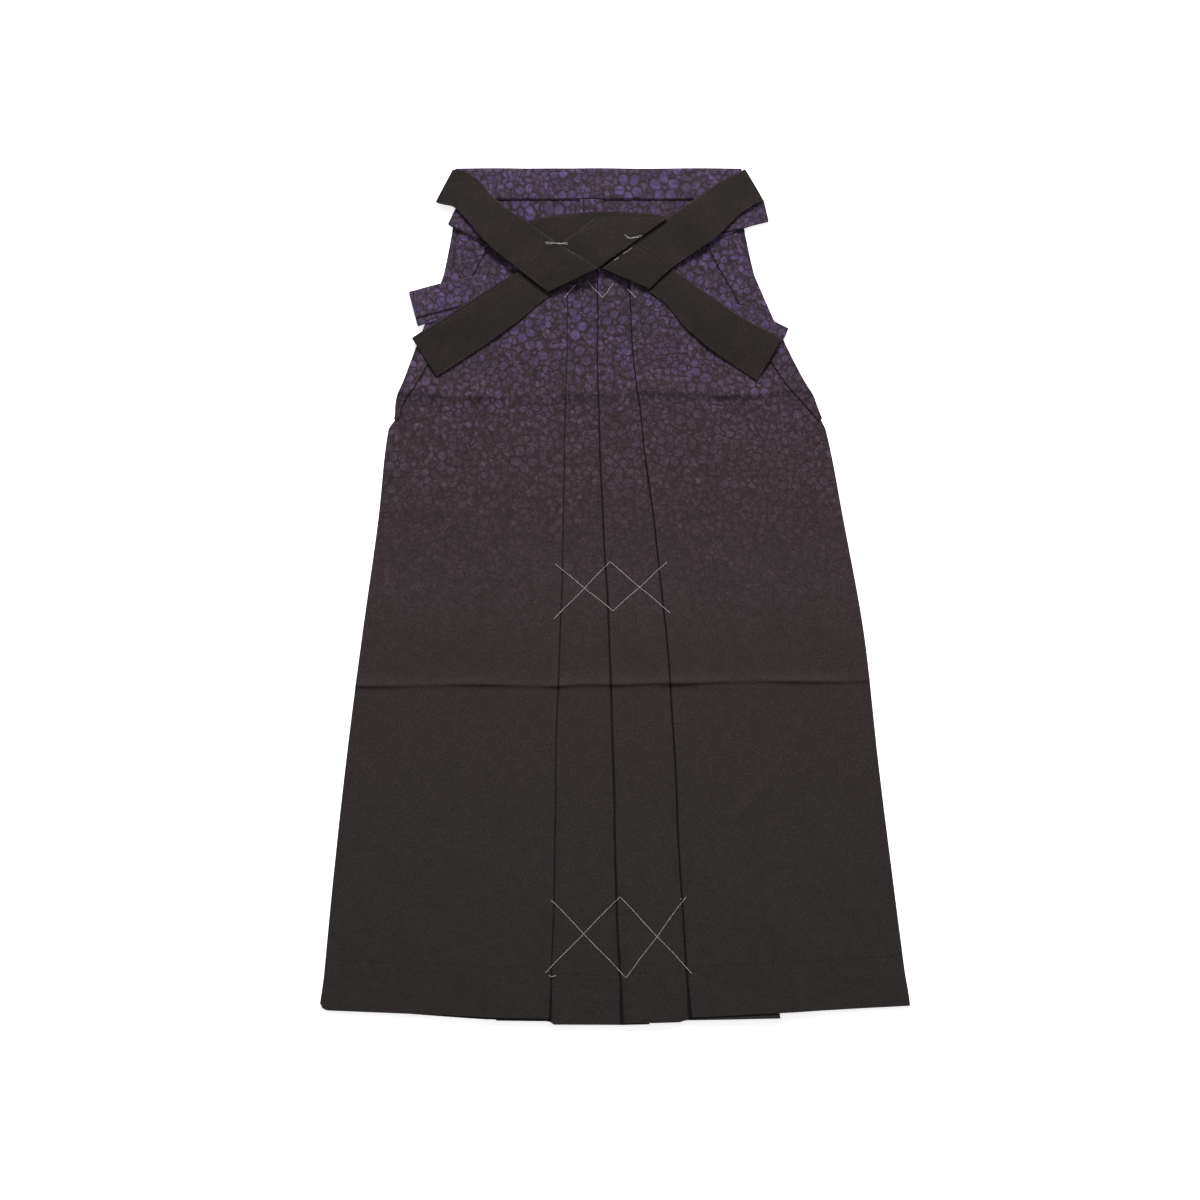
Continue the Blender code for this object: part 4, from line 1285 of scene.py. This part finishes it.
def past_line(line, plan):
    """How far each point of a plan is to the left of a line."""
    (x0, y0), (x1, y1) = line
    length = float(np.hypot(x1 - x0, y1 - y0))
    return ((x1 - x0) * (plan[..., 1] - y0) - (y1 - y0) * (plan[..., 0] - x0)) / length


def eased_grid(grid, passes):
    """A grid of numbers smoothed, its ends kept."""
    for _ in range(passes):
        padded = np.pad(grid, 1, mode="edge")
        near = padded[:-2, 1:-1] + padded[2:, 1:-1] + padded[1:-1, :-2] + padded[1:-1, 2:]
        grid = 0.5 * grid + 0.125 * near
    return grid


def plan_heights(node, plan, inner_plan):
    """Lowest and highest surface of a node's solid over a plan, read a little inside it."""
    solid = Solid(node)
    lows, highs = np.empty(plan.shape[:2]), np.empty(plan.shape[:2])
    for row in range(plan.shape[0]):
        for column in range(plan.shape[1]):
            span = solid.span(*inner_plan[row, column])
            lows[row, column], highs[row, column] = span or (np.nan, np.nan)
    for grid in (lows, highs):
        missing = np.isnan(grid)
        if missing.any():
            grid[missing] = np.nanmean(grid)
    return eased_grid(lows, HEIGHT_PASSES), eased_grid(highs, HEIGHT_PASSES)


def rim_places(rows, columns):
    """Places round the outside of a grid, in order."""
    return (
        [(0, column) for column in range(columns)]
        + [(row, columns - 1) for row in range(1, rows)]
        + [(rows - 1, column) for column in range(columns - 2, -1, -1)]
        + [(row, 0) for row in range(rows - 2, 0, -1)]
    )


def outward_at(outline):
    """Directions out of a closed outline, one at each of its points."""
    ahead = np.roll(outline, -1, axis=0) - np.roll(outline, 1, axis=0)
    outward = np.stack([ahead[:, 1], -ahead[:, 0]], axis=1)
    outward /= np.linalg.norm(outward, axis=1)[:, None]
    agree = np.einsum("ij,ij->i", outward, outline - outline.mean(axis=0)).sum()
    return -outward if agree < 0 else outward


def edge_rings(outline, low, high, layers, seed):
    """Rings of points up a pack's edge, where each of its layers bulges out."""
    outward = outward_at(outline)
    steps = np.linalg.norm(np.diff(outline, axis=0), axis=1)
    run = np.concatenate([[0], np.cumsum(steps)])
    rings = []
    for layer in range(layers):
        last = layer == layers - 1
        stray = EDGE_STRAY * np.sin(run * (41 + 13 * layer) + seed + 2.4 * layer)
        for step in range(1, EDGE_BULGE_STEPS + (not last)):
            share = (layer + step / EDGE_BULGE_STEPS) / layers
            swing = sin(pi * step / EDGE_BULGE_STEPS)
            reach = GROOVE * (swing - GROOVE_OUT) + stray * swing
            ring = outline + outward * reach[:, None]
            rings.append(np.column_stack([ring, low + (high - low) * share]))
    return rings


def stack_object(name, plan, lows, highs, layers, uvs, marks, material, seed):
    """Cloth folded into a flat pack: a top, an underside, and round edges that show its
    layers. plan holds the x and y of a grid whose rim is the pack's outline."""
    rows, columns = plan.shape[:2]
    count = rows * columns
    number = np.arange(count).reshape(rows, columns)
    rim = rim_places(rows, columns)
    outline, loop, low, high, rim_uvs, rim_marks = (
        np.array([grid[place] for place in rim])
        for grid in (plan, number, lows, highs, uvs, marks)
    )
    rings = edge_rings(outline, low, high, layers, seed)
    points = [np.dstack([plan, heights]).reshape(-1, 3) for heights in (highs, lows)] + rings
    uvs, marks = uvs.reshape(-1, 2), marks.reshape(-1, 2)
    uvs = [uvs, uvs + UNDER_SHIFT] + [rim_uvs + (0, RING_SHIFT * k) for k in range(len(rings))]
    marks = [marks, marks] + [rim_marks] * len(rings)
    top = grid_faces(rows, columns)
    faces = [top, count + top[:, ::-1]]
    chains = [loop + count]
    chains += [2 * count + k * len(rim) + np.arange(len(rim)) for k in range(len(rings))]
    chains.append(loop)
    for lower, upper in zip(chains[:-1], chains[1:]):
        corners = (lower, np.roll(lower, -1), np.roll(upper, -1), upper)
        faces.append(np.stack(corners, axis=-1))
    maps = {"cloth": np.vstack(uvs), "marks": np.vstack(marks)}
    mesh = cloth_mesh(name, np.vstack(points), np.vstack(faces), maps, material)
    fixed = bmesh.new()
    fixed.from_mesh(mesh)
    bmesh.ops.recalc_face_normals(fixed, faces=fixed.faces)
    fixed.to_mesh(mesh)
    fixed.free()
    mesh.shade_smooth()
    mesh.set_sharp_from_angle(angle=PACK_SHARP)
    return new_object(name, mesh)


def tie_piece(tie, material, seed):
    """One arm of a tie, folded to and fro."""
    fine, headings = bent_cuts(tie.cuts, TIE_STEP)
    shares = np.linspace(-0.5, 0.5, TIE_ACROSS)
    trim = GROOVE * TIE_TRIM

    def spread(inset):
        steps = np.linalg.norm(np.diff(fine[:, :2], axis=0), axis=1)
        run = np.concatenate([[0], np.cumsum(steps)])
        pull = np.interp(run, (0, inset, run[-1] - inset, run[-1]), (inset, 0, 0, -inset))
        rows = []
        for (x, y, width, lead), (go_x, go_y), forward in zip(fine, headings, pull):
            narrow = shares * (width - 2 * inset) / width
            ahead = lead * narrow + forward
            rows.append(np.stack([
                x - go_y * width * narrow + go_x * ahead,
                y + go_x * width * narrow + go_y * ahead,
            ], axis=1))
        return np.array(rows), run

    plan, run = spread(trim)
    lows, highs = plan_heights(tie.node, plan, spread(READ_INSIDE)[0])
    across = shares * fine[:, 2].mean()
    uvs = np.dstack(np.broadcast_arrays(across[None, :], run[:, None])) + seed * TIE_SHIFT
    soft = TIE_SWELL * np.sin(run * 61 + seed)[:, None] * np.cos(shares * 5 + seed)[None, :]
    past = past_line(tie.shows, plan)
    beyond = smooth(past / EDGE_SOFT + 0.5) * smooth(2 - past / EDGE_FADE)
    highs = highs + soft - EDGE_STEP * beyond * (tie.shows is not NO_EDGE)
    from_edge = (0.5 - np.abs(shares))[None, :] * fine[:, 2][:, None]
    # marks: distance past the shows line, where painted shade is drawn, and distance in from the
    # edges, which are worn and painted lighter as a highlight on the plain cloth
    marks = np.dstack([past, from_edge])
    made = stack_object(
        f"{tie.node}_pack", plan, lows, highs, tie.layers, uvs, marks, material, seed
    )
    flat = Flat(round(float(fine[:, 2].max()), 3), round(float(run[-1]), 3), None)
    return finish_piece(made, tie.node, flat)


# --- Threads ---------------------------------------------------------------------------


class Surface:
    """The finished cloth, to lay threads on."""

    def __init__(self, pieces):
        self.trees = [search_tree(piece.data) for piece in pieces]

    def top(self, x, y):
        """Height of the uppermost cloth at a point."""
        hits = [tree.ray_cast(Vector((x, y, CLEAR_ABOVE)), DOWN)[0] for tree in self.trees]
        return max((hit.z for hit in hits if hit is not None), default=0.0)


def thread_run(surface, start, stop, number):
    """Points of one straight run of thread over the cloth, going into it at each end."""
    (x0, y0), (x1, y1) = start, stop
    length = float(np.hypot(x1 - x0, y1 - y0))
    steps = max(3, round(length / THREAD_STEP))
    points = []
    for step in range(steps + 1):
        t = step / steps
        side = THREAD_SWAY * sin(pi * t) * sin(THREAD_TURN * t + number)
        x = x0 + (x1 - x0) * t - (y1 - y0) / length * side
        y = y0 + (y1 - y0) * t + (x1 - x0) / length * side
        points.append([x, y, surface.top(x, y) + THREAD_RADIUS * THREAD_LIE])
    for _ in range(THREAD_PASSES):
        for k in range(1, steps):
            points[k][2] = max(points[k][2], (points[k - 1][2] + points[k + 1][2]) / 2)
    for end in (points[0], points[-1]):
        end[2] -= THREAD_SUNK + THREAD_RADIUS
    return points


def thread(name, surface, routes):
    """White thread in straight runs from stitch to stitch along each route."""
    data = bpy.data.curves.new(name, "CURVE")
    data.dimensions = "3D"
    data.bevel_depth = THREAD_RADIUS
    data.bevel_resolution = 2
    data.use_fill_caps = True
    for number, route in enumerate(routes):
        points = []
        for start, stop in zip(route[:-1], route[1:]):
            run = thread_run(surface, start, stop, number)
            points += run[1:] if points else run
        spline = data.splines.new("POLY")
        spline.points.add(len(points) - 1)
        for point, place in zip(spline.points, points):
            point.co = (*place, 1.0)
    data.materials.append(COTTON)
    piece = applied(new_object(name + "_line", data), name)
    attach(piece, "root")
    return piece


# --- Stitches --------------------------------------------------------------------------


def stitch_group():
    """Short stitches set one after another along a line, and its inputs' identifiers."""
    tree = bpy.data.node_groups.new("Stitches", "GeometryNodeTree")
    identifiers = {}
    for label, kind in (
        ("Line", "Geometry"), ("Spacing", "Float"), ("Length", "Float"), ("Radius", "Float"),
        ("Thread", "Material"),
    ):
        socket = tree.interface.new_socket(
            name=label, in_out="INPUT", socket_type=f"NodeSocket{kind}"
        )
        identifiers[label] = socket.identifier
    tree.interface.new_socket(name="Stitches", in_out="OUTPUT", socket_type="NodeSocketGeometry")
    given, out = tree.nodes.new("NodeGroupInput").outputs, tree.nodes.new("NodeGroupOutput")
    line = put(tree, "GeometryNodeMeshToCurve", {"Mesh": given["Line"]}).outputs[0]
    spaced = {"Curve": line, "Length": given["Spacing"]}
    points = put(tree, "GeometryNodeCurveToPoints", spaced, mode="LENGTH").outputs
    sizes = {"Vertices": 6, "Radius": given["Radius"], "Depth": given["Length"]}
    stitch = put(tree, "GeometryNodeMeshCylinder", sizes, fill_type="TRIANGLE_FAN").outputs["Mesh"]
    placed = put(
        tree, "GeometryNodeInstanceOnPoints",
        {"Points": points["Points"], "Instance": stitch, "Rotation": points["Rotation"]},
    ).outputs[0]
    real = put(tree, "GeometryNodeRealizeInstances", {0: placed}).outputs[0]
    sewn = {"Geometry": real, "Material": given["Thread"]}
    done = put(tree, "GeometryNodeSetMaterial", sewn).outputs[0]
    tree.links.new(done, out.inputs["Stitches"])
    return tree, identifiers


def stitch_rows(name, surface, lines, spacing, length):
    """Rows of stitches on the cloth along lines given as lists of x and y."""
    points, edges = [], []
    for line in lines:
        first = len(points)
        points += [(x, y, surface.top(x, y) + STITCH_RADIUS * STITCH_LIE) for x, y in line]
        edges += [(k, k + 1) for k in range(first, len(points) - 1)]
    mesh = bpy.data.meshes.new(name)
    mesh.from_pydata(points, edges, [])
    base = new_object(name + "_line", mesh)
    sewing = base.modifiers.new("Stitches", "NODES")
    sewing.node_group = STITCHES
    values = {"Spacing": spacing, "Length": length, "Radius": STITCH_RADIUS, "Thread": SEWING}
    for label, value in values.items():
        sewing[STITCH_INPUTS[label]] = value
    piece = applied(base, name)
    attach(piece, "root")
    return piece


def hem_stitch_line(hem, start, stop):
    """The line of a turned hem's stitches between two x."""
    xs = np.linspace(start, stop, max(2, round((stop - start) / STITCH_LINE_STEP)))
    return list(zip(xs, hem_line(hem)(xs) + HEM_TURN))


# --- Stage -----------------------------------------------------------------------------


def stage():
    """A pale floor, soft light from the waist side, and a camera straight above."""
    mesh = bpy.data.meshes.new("floor")
    corners = [(x * FLOOR_HALF, y * FLOOR_HALF, 0) for x, y in ((-1, -1), (1, -1), (1, 1), (-1, 1))]
    mesh.from_pydata(corners, [], [(0, 1, 2, 3)])
    mesh.materials.append(new_material("floor_paint", FLOOR_LOOK)[0])
    floor = new_object("floor", mesh)
    floor.location.z = -FLOOR_DROP

    for name, place, size, energy in LAMPS:
        lamp = bpy.data.lights.new(name, "AREA")
        lamp.shape = "SQUARE"
        lamp.size = size
        lamp.energy = energy
        holder = new_object(name, lamp)
        holder.location = place
        holder.rotation_euler = (-Vector(place)).to_track_quat("-Z", "Y").to_euler()

    world = bpy.data.worlds.new("studio")
    world.use_nodes = True
    around = world.node_tree.nodes["Background"].inputs
    around["Color"].default_value = WHITE
    around["Strength"].default_value = WORLD_LIGHT
    bpy.context.scene.world = world
    bpy.context.scene.view_settings.view_transform = "Standard"

    lens = bpy.data.cameras.new("camera")
    lens.lens = LENS
    lens.sensor_width = SENSOR
    camera = new_object("camera", lens)
    camera.location = (*VIEW, VIEW_WIDTH * LENS / SENSOR)
    bpy.context.scene.camera = camera


stage()
BLOSSOMS, LEAVES, WEAVE = blossom_group(), leaf_group(), weave_group()
FLORAL = floral_group()
PAINTED_SHADE = painted_shade_group()
FLOWERED, SHADED, PLAIN = flowered_cloth(), shaded_cloth(), plain_cloth()
COTTON = basting_cotton()
SEWING = sewing_thread()
STITCHES, STITCH_INPUTS = stitch_group()

panels = []
for node, section, hem, lies_on, shift in (
    ("back_left", back_left, BACK_LEFT_HEM, [], (0.61, 0.13)),
    ("back_right", back_right, BACK_RIGHT_HEM, ["back_left"], (1.27, 0.41)),
    ("front_centre_left", front_centre_left, CENTRE_LEFT_HEM, ["back_left"], (2.11, 0.07)),
    ("front_centre_right", front_centre_right, CENTRE_RIGHT_HEM, ["back_right"], (3.43, 0.29)),
    ("front_left", front_left, LEFT_HEM, ["back_left"], (4.19, 0.53)),
    ("front_right", front_right, RIGHT_HEM, ["back_right"], (5.37, 0.17)),
):
    back = node.startswith("back")
    top = (lambda x: BACK_BAND_FOOT + BAND_TUCK + 0 * x) if back else front_top
    creases = BACK_CREASES if back else CREASES
    piece = body_panel(node, section, top, hem_line(hem), creases, shift, SHADED)
    panels.append(finish_piece(piece, node))

for node, side_name, facing, shift in (
    ("side_fold_left", "left_side", 1, 0.2),
    ("side_fold_right", "right_side", -1, 0.9),
):
    y = np.linspace(WAIST, LEAF_FOOT, LEAF_ROWS)
    course = side_fold(side_name, facing)(y)
    xs, ys, zs = course.grid()
    tops = ys + (front_top(xs) - WAIST) * smooth((ys - WAIST + EDGE_REACH) / EDGE_REACH)
    zs = zs + ridges(CREASES, xs, tops) + swell(xs, tops)
    # distance from the side fold's inner edge, where a line of painted shade is drawn
    inside = np.abs(xs - xs[:, :1])
    maps = (xs + shift, ys), (inside, ys - HEM)
    piece = sheet_object(f"{node}_leaf", xs, tops, zs, *maps, SHADED)
    panels.append(finish_piece(piece, node))


def band_piece(node, edges, material):
    """A waistband: a folded strip between the lines edges(x) gives for its top and foot."""
    low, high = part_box(node)
    rows, columns = BAND_GRIDS[node]
    xs = np.linspace(low[0] + BAND_RIM, high[0] - BAND_RIM, columns)
    shares = np.linspace(0, 1, rows)
    top, foot = edges(xs)
    ys = top[None, :] + (foot - top)[None, :] * shares[:, None]
    plan = np.dstack([np.repeat(xs[None, :], rows, axis=0), ys])
    middle = plan.mean(axis=(0, 1))
    inner = plan + np.clip(middle - plan, -BAND_INSIDE, BAND_INSIDE)
    lows, highs = plan_heights(node, plan, inner)
    # the dark line at the band's foot: a seam, with painted shade where the band meets the body
    seam = BAND_CRISP * (plan[..., 1] - foot[None, :] - BAND_SEAM_SHADE_UP)
    marks = np.dstack([seam, np.ones(plan.shape[:2])])
    made = stack_object(
        f"{node}_strip", plan, lows, highs, BAND_LAYERS, plan + BAND_SHIFT, marks, material,
        BAND_SEED,
    )
    flat = Flat(round(high[0] - low[0], 3), round(float(np.mean(top - foot)), 3), None)
    return finish_piece(made, node, flat)


def front_band_edges(xs):
    """Top and foot of the front waistband, bowed with the front."""
    top = front_top(xs) + FRONT_BAND_OVER - BAND_RIM
    return top, top - FRONT_BAND_HEIGHT + 2 * BAND_RIM


def back_band_edges(xs):
    """Top and foot of the back waistband, straight."""
    low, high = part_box("back_waistband")
    return high[1] - BAND_RIM + 0 * xs, low[1] + BAND_FOOT_RIM + 0 * xs


back_band = band_piece("back_waistband", back_band_edges, FLOWERED)
band_piece("front_waistband", front_band_edges, PLAIN)
ties = []
for number, tie in enumerate(TIES):
    flowered = tie.node.startswith("back")
    material, slot = (FLOWERED, "flowered_cloth") if flowered else (PLAIN, "plain_cloth")
    ties.append(tie_piece(tie, material, TIE_SEED + SEED_STEP * number))

cloth = Surface(panels)
thread("basting_middle", cloth, MIDDLE_BASTING)
thread("basting_lower", cloth, LOWER_BASTING)
thread("basting_top", cloth, TOP_BASTING)
thread("basting_end", cloth, (KNOT_TAIL, LOOSE_END))
thread("tie_threads", Surface(ties), TIE_THREADS)

hem_lines = [hem_stitch_line(*line) for line in HEM_STITCH_LINES]
stitch_rows("hem_stitches", cloth, hem_lines, *HEM_STITCH)
low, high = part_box("back_waistband")
first_in, last_in = BAND_STITCHES_IN
stitched = np.linspace(low[0] + first_in, high[0] - last_in, BAND_STITCH_POINTS)
band_line = [(x, low[1] + BAND_STITCHES_UP) for x in stitched]
stitch_rows("band_stitches", Surface([back_band]), [band_line], *BAND_STITCH)
